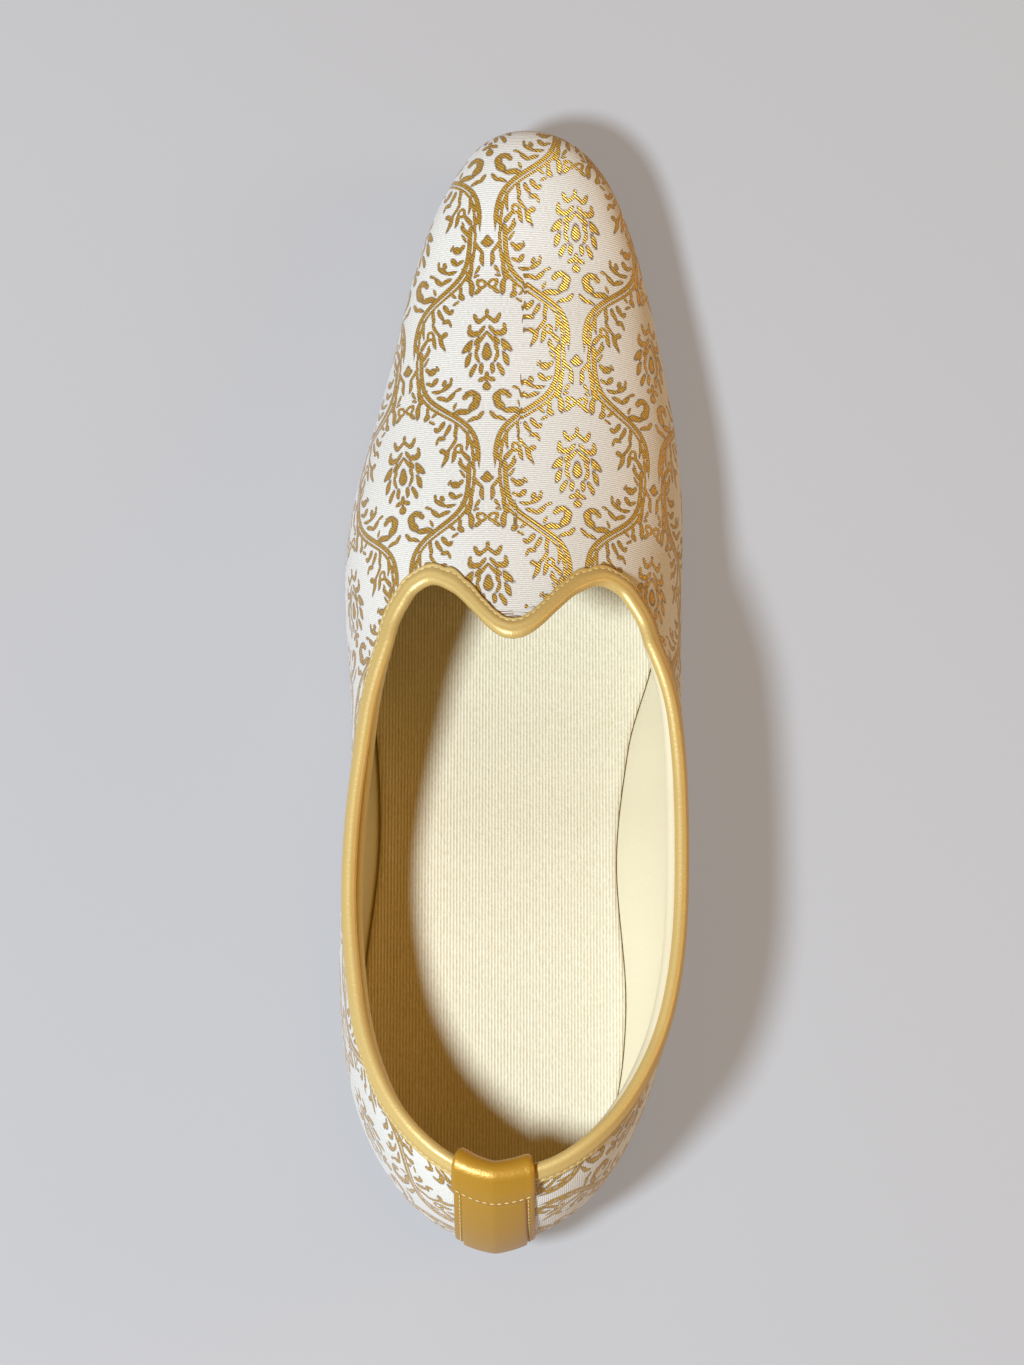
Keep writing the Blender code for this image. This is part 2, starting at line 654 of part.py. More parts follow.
def plate_levels(rings, cut):
    """Rings (outline, height function, end) cut at steps along Y, as points of both sides."""
    if cut:
        share = 1.0 - np.cos(np.linspace(0.0, np.pi / 2.0, SOLE_STEPS // 2 + 1))
    else:
        share = (1.0 - np.cos(np.linspace(0.0, np.pi, SOLE_STEPS + 1))) / 2.0
    levels = []
    for edge, height, end in rings:
        outer, inner = two_sides(edge)
        last = end if cut else outer[-1, 1]
        y = outer[0, 1] + (last - outer[0, 1]) * share
        left = np.interp(y, outer[:, 1], outer[:, 0])
        right = np.interp(y, inner[:, 1], inner[:, 0])
        z = height(y)
        levels.append((np.column_stack([left, y, z]), np.column_stack([right, y, z])))
    return levels


def plate(name, rings, colour, roughness):
    """A closed plate from rings (outline, height function, end), bottom ring first.

    Its lower and upper faces are strips across, so they follow the heights along Y. Pointed
    ends share one point, and a ring with an end is cut straight across at that Y.
    """
    cut = rings[0][2] is not None
    levels = plate_levels(rings, cut)
    steps = len(levels[0][0])
    points, index = [], {}
    for level, sides in enumerate(levels):
        for side in (0, 1):
            for k in range(steps):
                tip = k == 0 or (k == steps - 1 and not cut)
                if side == 1 and tip:
                    index[level, 1, k] = index[level, 0, k]
                    continue
                index[level, side, k] = len(points)
                points.append(sides[side][k])
    faces = []

    def add(*corners):
        unique = []
        for corner in corners:
            if index[corner] not in unique:
                unique.append(index[corner])
        if len(unique) > 2:
            faces.append(tuple(unique))

    top = len(levels) - 1
    for k in range(steps - 1):
        add((0, 0, k), (0, 0, k + 1), (0, 1, k + 1), (0, 1, k))
        add((top, 0, k), (top, 1, k), (top, 1, k + 1), (top, 0, k + 1))
        for level in range(top):
            add((level, 0, k), (level + 1, 0, k), (level + 1, 0, k + 1), (level, 0, k + 1))
            add((level, 1, k), (level, 1, k + 1), (level + 1, 1, k + 1), (level + 1, 1, k))
    if cut:
        for level in range(top):
            last = steps - 1
            add((level, 0, last), (level + 1, 0, last), (level + 1, 1, last), (level, 1, last))
    return solid(name, points, quads_to_triangles(faces), colour, roughness, 0.0)


def outsole(foot):
    """The sole, a little wider than the foot of the wall, with rounded edges."""
    edge = inset(foot, -SOLE_MARGIN)
    narrow = inset(foot, SOLE_ROUND - SOLE_MARGIN)
    rings = [
        (narrow, sole_bottom, None),
        (edge, lambda y: sole_bottom(y) + SOLE_ROUND, None),
        (edge, lambda y: sole_top(y) - SOLE_ROUND, None),
        (narrow, sole_top, None),
    ]
    plate("outsole", rings, (0.10, 0.07, 0.05), 0.6)


def heel_block(foot):
    """The low heel, tapered to the floor, with a straight breast."""
    top = inset(foot, SOLE_ROUND - SOLE_MARGIN)
    low = inset(foot, SOLE_ROUND - SOLE_MARGIN + HEEL_TAPER)
    rings = [
        (low, lambda y: 0.0 * y, HEEL_LENGTH - HEEL_TAPER),
        (top, lambda y: 0.0 * y + HEEL_HEIGHT, HEEL_LENGTH),
    ]
    plate("heel_block", rings, (0.09, 0.06, 0.04), 0.6)


def insole(inner_foot):
    """The footbed inside the wall."""
    edge = inset(inner_foot, GAP)
    rings = [
        (edge, foot_line, None),
        (edge, lambda y: foot_line(y) + INSOLE_THICKNESS, None),
    ]
    plate("insole", rings, (0.70, 0.62, 0.44), 0.9)


def build():
    for thing in list(bpy.data.objects):
        bpy.data.objects.remove(thing)
    foot, inner_foot = upper()
    collar_binding()
    heel_strip()
    outsole(foot)
    heel_block(foot)
    insole(inner_foot)


build()
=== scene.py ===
# %% [markdown]
# # A brocade slip-on, dressed
#
# The shoe is a man's mojari for the left foot: a brocade upper, a rolled gilt binding round the
# collar, a gilt strip over the back seam, a ribbed footbed, a thin sole and a low heel. The packed
# model is the fixed frame. This script makes the fine surface of each piece around it.

import bpy
import numpy as np
from mathutils import Matrix, Vector


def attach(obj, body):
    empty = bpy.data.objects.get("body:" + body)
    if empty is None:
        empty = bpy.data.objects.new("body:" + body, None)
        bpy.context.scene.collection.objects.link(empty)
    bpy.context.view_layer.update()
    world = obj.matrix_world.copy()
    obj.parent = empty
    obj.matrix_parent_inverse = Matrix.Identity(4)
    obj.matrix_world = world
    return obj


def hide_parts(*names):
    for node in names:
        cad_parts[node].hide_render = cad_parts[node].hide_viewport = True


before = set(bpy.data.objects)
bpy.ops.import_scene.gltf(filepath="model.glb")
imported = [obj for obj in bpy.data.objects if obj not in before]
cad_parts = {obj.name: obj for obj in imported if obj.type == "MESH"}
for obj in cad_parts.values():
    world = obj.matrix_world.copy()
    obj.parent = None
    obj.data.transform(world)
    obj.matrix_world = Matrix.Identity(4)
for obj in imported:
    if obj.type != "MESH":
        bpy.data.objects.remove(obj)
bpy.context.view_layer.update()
print("frame:", sorted(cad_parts))

# %% [markdown]
# ## Sizes of the last
#
# A shoemaker starts from the last, the wooden form of the foot. Every curved piece here is
# worked out from it: a plan outline, a ridge over the instep and a section for each place along
# the shoe. The numbers are those of the frame, in metres, so that each new piece lies where its
# solid lies. Only the throat lies about 2 mm lower and further back here, its tongue point 1 mm
# to the side, and the binding's outer leaf is 1 mm narrower, as a close look at the photograph
# shows. Tables hold shares of the named sizes.

# %% Named sizes, in metres
LENGTH = 0.290
BALL_WIDTH = 0.087
INSTEP_RISE = 0.0570
TOE_RISE = 0.0265
SIDE_HEIGHT = 0.0465
BACK_HEIGHT = 0.0585
THROAT_HEIGHT = 0.0492
SCALLOP_DEPTH = 0.0160
WALL = 0.0018
GAP = 0.0003
SOLE_THICKNESS = 0.0050
SOLE_MARGIN = 0.0014
HEEL_HEIGHT = 0.0100
HEEL_LENGTH = 0.0700
HEEL_TAPER = 0.0012
TOE_SPRING = 0.0080
EQUATOR_RISE = 0.0095
END_TUCK = 0.0050
BINDING_SHEET = 0.0006
BINDING_OUTSIDE = 0.0036
BINDING_INSIDE = 0.0036
STRIP_WIDTH = 0.0150
FLANGE_WIDTH = 0.0022
PANEL_THICKNESS = 0.0013
FLANGE_THICKNESS = 0.0006
STRIP_INSIDE = 0.0075
MIDDLE = (LENGTH - GAP - PANEL_THICKNESS) / 2.0
MM = 0.001
print("shoe:", round(LENGTH / MM), "by", round(BALL_WIDTH / MM), "mm over its upper")

# %% Tables of the last, as shares of the named sizes
# Plan outline: along, outer side, inner side.
OUTLINE = np.array([
    (0.019, 0.229, 0.144), (0.053, 0.340, 0.266), (0.104, 0.430, 0.362), (0.173, 0.482, 0.436),
    (0.241, 0.494, 0.474), (0.360, 0.478, 0.490), (0.445, 0.466, 0.490), (0.513, 0.476, 0.492),
    (0.581, 0.490, 0.496), (0.649, 0.474, 0.500), (0.717, 0.420, 0.484), (0.785, 0.360, 0.448),
    (0.854, 0.306, 0.400), (0.922, 0.232, 0.334), (0.960, 0.165, 0.272), (0.990, 0.076, 0.168),
])
HEEL_TIP = -0.0535
TOE_TIP = 0.042
# Underside of the sole: along, share of the heel's height, share of the toe spring.
SOLE_LINE = np.array([
    (0.00, 1.00, 0.00), (0.26, 1.00, 0.00), (0.34, 0.84, 0.00), (0.42, 0.46, 0.00),
    (0.50, 0.11, 0.00), (0.56, 0.00, 0.00), (0.72, 0.00, 0.00), (0.81, 0.00, 0.10),
    (0.90, 0.00, 0.42), (1.00, 0.00, 1.00),
])
# Ridge: along, height above the sole from 0 at TOE_RISE to 1 at INSTEP_RISE.
RIDGE = np.array([
    (0.00, 1.28), (0.20, 1.32), (0.35, 1.30), (0.44, 1.15), (0.51, 0.99), (0.58, 0.77),
    (0.65, 0.56), (0.72, 0.38), (0.80, 0.20), (0.88, 0.05), (1.00, 0.00),
])
TOE_ROUND = (0.240, 2.3)
HEEL_ROUND = (0.200, 2.0)
# Sections: along, roundness, foot of the wall (outer, inner), widest line (outer, inner), lean.
SECTIONS = np.array([
    (0.00, 2.3, 0.90, 0.88, 1.0, 1.0, 0.04), (0.10, 2.3, 0.90, 0.82, 1.0, 1.1, 0.08),
    (0.20, 2.5, 0.88, 0.72, 1.2, 1.7, 0.10), (0.34, 2.7, 0.80, 0.58, 1.7, 2.3, 0.06),
    (0.44, 2.5, 0.86, 0.66, 1.6, 2.1, 0.04), (0.53, 2.2, 0.93, 0.84, 1.1, 1.4, 0.02),
    (0.62, 2.1, 0.95, 0.91, 1.0, 1.0, 0.01), (0.80, 2.1, 0.94, 0.92, 1.0, 1.0, 0.00),
    (1.00, 2.2, 0.93, 0.93, 1.0, 1.0, 0.00),
])
# Topline: along, share of the rise to BACK_HEIGHT, share of the rise to THROAT_HEIGHT.
TOPLINE = np.array([
    (0.00, 1.00, 0.00), (0.05, 0.98, 0.00), (0.12, 0.62, 0.00), (0.20, 0.24, 0.00),
    (0.30, 0.03, 0.00), (0.38, 0.00, 0.03), (0.45, 0.00, 0.28), (0.52, 0.00, 1.00),
    (0.60, 0.00, 2.20),
])
THROAT_SHARE = 0.505
TONGUE_SHIFT = 0.0004
TONGUE_BACK = 0.0005
# One scallop of the throat: share of the way to the tongue point, share of the depth.
SCALLOP = np.array([
    (0.00, 0.00), (0.06, 0.40), (0.13, 0.66), (0.22, 0.90), (0.34, 1.00), (0.51, 0.84),
    (0.66, 0.53), (0.78, 0.25), (0.87, 0.09), (0.94, 0.02), (1.00, 0.00),
])
print("rows of outline, ridge and sections:", len(OUTLINE), len(RIDGE), len(SECTIONS))

# %% [markdown]
# ## Curves from tables
#
# A table only has the points that the shape needs. A cubic that never overshoots its rows joins
# them, and a periodic spline joins the outline's points, so heel and toe close smoothly.

# %% Two kinds of curve
def smooth(table, column, at):
    """Cubic Hermite curve through a table, with harmonic-mean slopes so that it never overshoots."""
    knots, values = table[:, 0], table[:, column]
    steps = np.diff(knots)
    slopes = np.diff(values) / steps
    both = slopes[:-1] * slopes[1:]
    total = np.where(both > 0, slopes[:-1] + slopes[1:], 1.0)
    inner = np.where(both > 0, 2.0 * both / total, 0.0)
    tangents = np.concatenate([slopes[:1], inner, slopes[-1:]])
    at = np.clip(at, knots[0], knots[-1])
    cell = np.clip(np.searchsorted(knots, at, side="right") - 1, 0, len(steps) - 1)
    t = (at - knots[cell]) / steps[cell]
    rise = (3.0 - 2.0 * t) * t**2 * (values[cell + 1] - values[cell])
    bend = tangents[cell] * (1.0 - t) ** 2 * t - tangents[cell + 1] * t**2 * (1.0 - t)
    return values[cell] + rise + bend * steps[cell]


def closed_curve(points, per_span):
    """Periodic cubic spline over the chord lengths: tangents from one linear system."""
    ahead = np.roll(points, -1, axis=0)
    spans = np.linalg.norm(ahead - points, axis=1)
    before = np.roll(spans, 1)
    slopes = (ahead - points) / spans[:, None]
    eye = np.eye(len(points))
    matrix = eye * (2.0 / before + 2.0 / spans)[:, None]
    matrix += np.roll(eye, 1, axis=1) / spans[:, None] + np.roll(eye, -1, axis=1) / before[:, None]
    right = 3.0 * (np.roll(slopes, 1, axis=0) / before[:, None] + slopes / spans[:, None])
    tangents = np.linalg.solve(matrix, right)
    t = (np.arange(per_span) / per_span)[None, :, None]
    start, end = points[:, None], ahead[:, None]
    leave, arrive = tangents[:, None], np.roll(tangents, -1, axis=0)[:, None]
    curve = start + (3.0 - 2.0 * t) * t**2 * (end - start)
    curve += (leave * (1.0 - t) ** 2 * t - arrive * t**2 * (1.0 - t)) * spans[:, None, None]
    return curve.reshape(-1, 2)


def arc_length(points):
    """Running length: the sum of the steps along the last but one axis."""
    steps = np.linalg.norm(np.diff(points, axis=-2), axis=-1)
    zero = np.zeros(steps.shape[:-1] + (1,))
    return np.concatenate([zero, np.cumsum(steps, axis=-1)], axis=-1)


def along_curve(curve, at):
    """Points of one curve at running lengths."""
    length = arc_length(curve)
    return np.stack([np.interp(at, length, curve[:, k]) for k in range(curve.shape[1])], axis=-1)


print("ridge at half the length:", round(float(smooth(RIDGE, 1, 0.5)), 3), "of its rise")

# %% Plan outline, heights and the surface
def plan_outline():
    """Outer and inner side of the plan outline, both from heel tip to toe tip."""
    outer = OUTLINE[:, [1, 0]] * np.array([-BALL_WIDTH, LENGTH])
    inner = OUTLINE[:, [2, 0]] * np.array([BALL_WIDTH, LENGTH])
    heel = [[HEEL_TIP * BALL_WIDTH, 0.0]]
    toe = [[TOE_TIP * BALL_WIDTH, LENGTH]]
    curve = closed_curve(np.concatenate([heel, outer, toe, inner[::-1]]), 60)
    curve = np.roll(curve, -int(np.argmin(curve[:, 1])), axis=0)
    curve[:, 1] -= curve[0, 1]
    last = int(np.argmax(curve[:, 1]))
    curve[:, 1] *= LENGTH / curve[last, 1]
    return curve[: last + 1], np.vstack([curve[last:], curve[:1]])[::-1]


OUTER_SIDE, INNER_SIDE = plan_outline()


def sole_bottom(y):
    """Underside of the sole: lifted by the heel at the back and by the spring at the toe."""
    share = y / LENGTH
    heel = smooth(SOLE_LINE, 1, share) * (HEEL_HEIGHT + GAP)
    return heel + smooth(SOLE_LINE, 2, share) * TOE_SPRING


def sole_top(y):
    """Upper side of the sole: one thickness above its underside."""
    return sole_bottom(y) + SOLE_THICKNESS


def foot_line(y):
    """Foot of the wall: a gap above the sole."""
    return sole_top(y) + GAP


def ridge_height(y):
    """The ridge falls to the widest line at toe and heel along a superellipse."""
    share = y / LENGTH
    widest = foot_line(y) + EQUATOR_RISE
    rise = TOE_RISE + smooth(RIDGE, 1, share) * (INSTEP_RISE - TOE_RISE) - EQUATOR_RISE
    toe = np.clip((share - 1.0 + TOE_ROUND[0]) / TOE_ROUND[0], 0.0, 1.0)
    heel = np.clip((HEEL_ROUND[0] - share) / HEEL_ROUND[0], 0.0, 1.0)
    toe_fall = (1.0 - toe ** TOE_ROUND[1]) ** (1.0 / TOE_ROUND[1])
    heel_fall = (1.0 - heel ** HEEL_ROUND[1]) ** (1.0 / HEEL_ROUND[1])
    return widest + rise * toe_fall * heel_fall


def centre_line(y):
    """Half way between the outline's two sides."""
    left = np.interp(y, OUTER_SIDE[:, 1], OUTER_SIDE[:, 0])
    right = np.interp(y, INNER_SIDE[:, 1], INNER_SIDE[:, 0])
    return (left + right) / 2.0


# A dense table of every curve, read by linear interpolation, is much quicker than the cubics.
DENSE_Y = np.linspace(0.0, LENGTH, 4001)
DENSE = {
    "low": foot_line(DENSE_Y),
    "lean": smooth(SECTIONS, 6, DENSE_Y / LENGTH),
    "roundness": smooth(SECTIONS, 1, DENSE_Y / LENGTH),
    "ridge": ridge_height(DENSE_Y),
    "foot0": smooth(SECTIONS, 2, DENSE_Y / LENGTH),
    "foot1": smooth(SECTIONS, 3, DENSE_Y / LENGTH),
    "wide0": smooth(SECTIONS, 4, DENSE_Y / LENGTH) * EQUATOR_RISE,
    "wide1": smooth(SECTIONS, 5, DENSE_Y / LENGTH) * EQUATOR_RISE,
}


def read(name, y):
    """One of the dense tables at places along the shoe."""
    return np.interp(y, DENSE_Y, DENSE[name])


# Halving a segment 26 times finds a place on it to a few millionths of a millimetre.
HALVINGS = 26


def outside(x, y, z):
    """Distance outside the upper along X, negative inside.

    Above its widest line a section is a superellipse up to the ridge. Below, it draws in with
    the square of the depth, and heel and toe draw in with it.
    """
    low, lean, roundness = read("low", y), read("lean", y), read("roundness", y)
    ridge = read("ridge", y)
    result = None
    for side, sign in ((0, -1.0), (1, 1.0)):
        widest = low + read(f"wide{side}", y)
        top = np.maximum(ridge, widest + WALL)
        up = np.clip((z - widest) / (top - widest), 0.0, 1.0)
        over = (1.0 - up**roundness) ** (1.0 / roundness)
        down = np.clip((widest - z) / (widest - low), 0.0, 1.4)
        under = 1.0 - (1.0 - read(f"foot{side}", y)) * down**2
        middle = LENGTH / 2.0
        along = middle + (y - middle) * (1.0 + END_TUCK / middle * down**2)
        left = np.interp(along, OUTER_SIDE[:, 1], OUTER_SIDE[:, 0])
        right = np.interp(along, INNER_SIDE[:, 1], INNER_SIDE[:, 0])
        past = np.maximum(np.maximum(-along, along - LENGTH), 0.0)
        centre = (left + right) / 2.0 + lean * np.maximum(z - widest, 0.0)
        distance = sign * (x - centre) - (right - left) / 2.0 * over * under + past
        result = distance if result is None else np.where(x > centre, distance, result)
    return result


def first_crossing(start, end):
    """Bisection, on whole arrays, for the place where a segment leaves the surface."""
    low = np.zeros(start.shape[:-1])
    high = np.ones(start.shape[:-1])
    for _ in range(HALVINGS):
        half = (low + high) / 2.0
        point = start + (end - start) * half[..., None]
        inside = outside(point[..., 0], point[..., 1], point[..., 2]) < 0.0
        low = np.where(inside, half, low)
        high = np.where(inside, high, half)
    return start + (end - start) * low[..., None]


def topline_height(y):
    """Height of the collar: level at the sides, raised to the back and to the throat."""
    share = y / LENGTH
    back = smooth(TOPLINE, 1, share) * (BACK_HEIGHT - SIDE_HEIGHT)
    return SIDE_HEIGHT + back + smooth(TOPLINE, 2, share) * (THROAT_HEIGHT - SIDE_HEIGHT)


print("ridge over the throat:", round(float(ridge_height(THROAT_SHARE * LENGTH)) / MM, 1), "mm up")

# %% [markdown]
# ## The wall as a sheaf of curves
#
# The upper is lasted: the cloth is pulled down over the form all round. So the wall is computed
# as a sheaf of curves, each from the foot of the wall up to the topline. Behind the throat they
# stand like staves, and over the vamp they fan out from the scallops to the toe. Any band of
# the shoe, such as binding, stitch row or strip, is then a distance along these curves and an
# offset off the surface.

# %% The sheaf
QUARTER_COLUMNS = 70
VAMP_COLUMNS = 120
# Lines across half the heel strip: its panel, the step at its edge, and the flange.
HALF_PANEL = STRIP_WIDTH / 2.0
STRIP_EDGES = np.concatenate([
    np.linspace(0.0, HALF_PANEL - 0.5 * MM, 10), HALF_PANEL + np.array([-0.2, 0.0, 0.15]) * MM,
    HALF_PANEL + np.array([0.3, 0.6, 0.9, 1.0]) * FLANGE_WIDTH,
])
STRIP_COLUMNS = len(STRIP_EDGES)
# Halvings that find the topline.
EDGE_HALVINGS = 34
# Even shares to this power: columns lie a little closer beside the strip, and rows at the foot.
CROWDING = 1.15
# Over the vamp columns lie closer towards its middle, by this part.
EASE = 0.35
# Over the vamp the curves' common base draws in to the topline within a third of the columns.
FADE = 19.0 / 6.0
# The frame that the rays run to lies this far beyond the foot, below it and above the topline.
FRAME_OUT = 4.0 * MM
FRAME_DOWN = 3.0 * MM
FRAME_UP = 20.0 * MM
# Rows of normals along each curve, and the length that tells a curve's direction at its end.
NORMAL_ROWS = 160
END_LENGTH = 1.5 * MM
# The slant is measured over this length. It is kept above a least value, because at the throat's
# ends the topline runs almost along a curve.
SLANT_LENGTH = 3.0 * MM
LEAST_SLANT = 0.45


def collar_side(foot, outward):
    """Topline points: bisection inwards from the outline, at the topline's own height."""
    low = np.zeros(len(foot))
    high = np.full(len(foot), BALL_WIDTH / 3.0)
    for _ in range(EDGE_HALVINGS):
        half = (low + high) / 2.0
        point = foot - outward * half[:, None]
        off = outside(point[:, 0], point[:, 1], topline_height(point[:, 1])) > 0.0
        low = np.where(off, half, low)
        high = np.where(off, high, half)
    point = foot - outward * high[:, None]
    return np.column_stack([point, topline_height(point[:, 1])])


def side_columns(side):
    """Outline points, outward directions and topline points of one side, heel to throat."""
    length = arc_length(side)
    throat = np.interp(THROAT_SHARE * LENGTH, side[:, 1], length)
    third = len(side) // 3
    near = np.interp(STRIP_EDGES[1:], np.abs(side[:third, 0] - side[0, 0]), length[:third])
    spread = np.linspace(0.0, 1.0, QUARTER_COLUMNS + 1)[1:] ** CROWDING
    at = np.concatenate([[0.0], near, near[-1] + (throat - near[-1]) * spread])
    foot = along_curve(side, at)
    step = 0.5 * MM
    tangent = along_curve(side, at + step) - along_curve(side, np.maximum(at - step, 0.0))
    sign = np.sign(side[len(side) // 2, 0])
    normal = np.column_stack([sign * tangent[:, 1], -sign * tangent[:, 0]])
    normal /= np.linalg.norm(normal, axis=1)[:, None]
    share = np.clip((at - near[-1]) / (BALL_WIDTH / 2.0), 0.0, 1.0)[:, None]
    outward = normal * share + np.array([[0.0, -1.0]]) * (1.0 - share)
    outward /= np.linalg.norm(outward, axis=1)[:, None]
    return foot, outward, collar_side(foot, outward), throat, at


def throat_half(end, tongue):
    """One scallop in plan: a straight way to the tongue point plus the scallop's own curve."""
    share = np.linspace(0.0, 1.0, 800)
    across = end[0] + (tongue[0] - end[0]) * share
    straight = end[1] + (tongue[1] - end[1]) * share
    return np.column_stack([across, straight + SCALLOP_DEPTH * smooth(SCALLOP, 1, share)])


def surface_height(plan):
    """Places of the plan lifted onto the surface, from a point inside straight up."""
    base = np.column_stack([plan, foot_line(plan[:, 1]) + EQUATOR_RISE * 2.0])
    top = base.copy()
    top[:, 2] = 2.0 * INSTEP_RISE + TOE_SPRING
    return first_crossing(base, top)


class Wall:
    """Curves on the upper's outside, from the foot of the wall to the topline, all round."""

    def __init__(self):
        sides = [side_columns(side) for side in (OUTER_SIDE, INNER_SIDE)]
        middle = (sides[0][2][-1] + sides[1][2][-1]) / 2.0
        tongue = np.array([TONGUE_SHIFT, middle[1] - TONGUE_BACK])
        even = np.linspace(0.0, 1.0, VAMP_COLUMNS + 1)[1:]
        share = even * (1.0 + EASE) - EASE * even**2
        halves = []
        for side, (foot, outward, collar, throat, at) in zip((OUTER_SIDE, INNER_SIDE), sides):
            front_at = throat + (arc_length(side)[-1] - throat) * share
            front_foot = along_curve(side, front_at)
            curve = throat_half(collar[-1, :2], tongue)
            plan = along_curve(curve, arc_length(curve)[-1] * share)
            front_collar = surface_height(plan)
            direction = front_foot - plan
            direction /= np.linalg.norm(direction, axis=1)[:, None]
            fade = np.clip(1.0 - FADE * even, 0.0, 1.0)
            behind = np.concatenate([np.ones(len(foot)), fade**2]) * BALL_WIDTH / 5.0
            halves.append((
                np.vstack([foot, front_foot]), np.vstack([outward, direction]),
                np.vstack([collar, front_collar]), behind, np.concatenate([at, front_at]) - throat,
            ))
        joined = [np.concatenate([a, b[-2:0:-1]]) for a, b in zip(*halves)]
        foot, outward, self.collar, behind, self.around = joined
        self.tongue = STRIP_COLUMNS + QUARTER_COLUMNS + VAMP_COLUMNS - 1
        self.curves = self.trace(foot, outward, behind)
        self.lengths = arc_length(self.curves)
        grid = self.sample(self.curves, np.linspace(0.0, 1.0, NORMAL_ROWS) * self.lengths[:, -1:])
        sideways = np.roll(grid, -1, axis=0) - np.roll(grid, 1, axis=0)
        normal = np.cross(np.gradient(grid, axis=1), sideways)
        self.normals = normal / np.linalg.norm(normal, axis=-1)[..., None]

    def trace(self, foot, outward, behind, samples=130):
        """Rays from a base point inside, to a frame of side wall and lid outside, hit the curves."""
        base = self.collar.copy()
        base[:, :2] -= outward * behind[:, None]
        base[:, 2] = foot_line(base[:, 1]) + EQUATOR_RISE
        reach = np.linalg.norm(foot - base[:, :2], axis=1) + FRAME_OUT
        low = foot_line(foot[:, 1]) - FRAME_DOWN
        slope = (self.collar[:, 2] - base[:, 2]) / np.maximum(behind, 1e-6)
        high = np.minimum(self.collar[:, 2] + FRAME_UP, base[:, 2] + slope * reach)
        stop = (high - base[:, 2]) / slope
        up = np.linspace(0.0, 1.0, samples)[None, :]
        back = np.linspace(0.0, 1.0, samples + 1)[None, 1:]
        side_r = np.repeat(reach[:, None], samples, axis=1)
        side_z = low[:, None] + (high - low)[:, None] * up
        top_r = reach[:, None] + (stop - reach)[:, None] * back
        top_z = np.repeat(high[:, None], samples, axis=1)
        radius = np.concatenate([side_r, top_r], axis=1)[..., None]
        height = np.concatenate([side_z, top_z], axis=1)[..., None]
        start = np.repeat(base[:, None, :], radius.shape[1], axis=1)
        end = np.concatenate([base[:, None, :2] + outward[:, None, :] * radius, height], axis=2)
        points = first_crossing(start, end)
        over = points[..., 2] - foot_line(points[..., 1])
        first = np.maximum(np.argmax(over > 0.0, axis=1), 1)
        rows = np.arange(len(points))
        a, b = over[rows, first - 1], over[rows, first]
        share = (a / (a - b))[:, None]
        begin = points[rows, first - 1] * (1.0 - share) + points[rows, first] * share
        index = np.arange(points.shape[1])[None, :]
        return np.where((index < first[:, None])[..., None], begin[:, None, :], points)

    def sample(self, values, at):
        """Values along the curves at running lengths, an array of columns by rows."""
        rows = np.arange(len(self.lengths))[:, None]
        cell = np.zeros(at.shape, int)
        step = 1 << (self.lengths.shape[1] - 1).bit_length()
        while step:
            ahead = np.minimum(cell + step, self.lengths.shape[1] - 2)
            cell = np.where(self.lengths[rows, ahead] <= at, ahead, cell)
            step //= 2
        span = np.maximum(self.lengths[rows, cell + 1] - self.lengths[rows, cell], 1e-12)
        share = np.clip((at - self.lengths[rows, cell]) / span, 0.0, 1.0)[..., None]
        return values[rows, cell] * (1.0 - share) + values[rows, cell + 1] * share

    def at(self, from_edge, offset):
        """Points a distance down the wall from the topline, and an offset off its outside.

        A negative distance runs straight on past the edge.
        """
        shape = (len(self.curves), np.shape(from_edge)[-1])
        from_edge = np.broadcast_to(from_edge, shape)
        offset = np.broadcast_to(offset, shape)[..., None]
        total = self.lengths[:, -1:]
        place = total - np.maximum(from_edge, 0.0)
        point = self.sample(self.curves, place)
        edge = self.curves[:, -1]
        onward = edge - self.sample(self.curves, total - END_LENGTH)[:, 0]
        onward /= np.linalg.norm(onward, axis=1)[:, None]
        point = point + onward[:, None, :] * np.maximum(-from_edge, 0.0)[..., None]
        share = place / total * (self.normals.shape[1] - 1)
        cell = np.clip(share.astype(int), 0, self.normals.shape[1] - 2)
        rows = np.arange(len(self.curves))[:, None]
        part = (share - cell)[..., None]
        normal = self.normals[rows, cell] * (1.0 - part) + self.normals[rows, cell + 1] * part
        normal /= np.linalg.norm(normal, axis=-1)[..., None]
        return point + normal * offset

    def slant(self):
        """Sine of the angle between curve and topline, so that a band keeps its width."""
        edge = self.curves[:, -1]
        tangent = np.roll(edge, -1, axis=0) - np.roll(edge, 1, axis=0)
        tangent[self.tongue] = edge[self.tongue + 1] - edge[self.tongue]
        tangent /= np.linalg.norm(tangent, axis=1)[:, None]
        down = self.sample(self.curves, self.lengths[:, -1:] - SLANT_LENGTH)[:, 0] - edge
        down /= np.linalg.norm(down, axis=1)[:, None]
        return np.clip(np.linalg.norm(np.cross(tangent, down), axis=1), LEAST_SLANT, 1.0)


wall = Wall()
slant = wall.slant()
COLUMNS = len(wall.curves)
print("wall:", wall.curves.shape, "longest curve", round(wall.lengths[:, -1].max() / MM, 1), "mm")

# %% [markdown]
# ## Mesh and node helpers
#
# Grids become meshes with from_pydata and foreach_set. One function turns a colour as designers
# write it into the linear light that the shader works in, and one adds a node with its settings
# and links: a whole material is then a list of calls. Each piece rides on the shoe's only body.

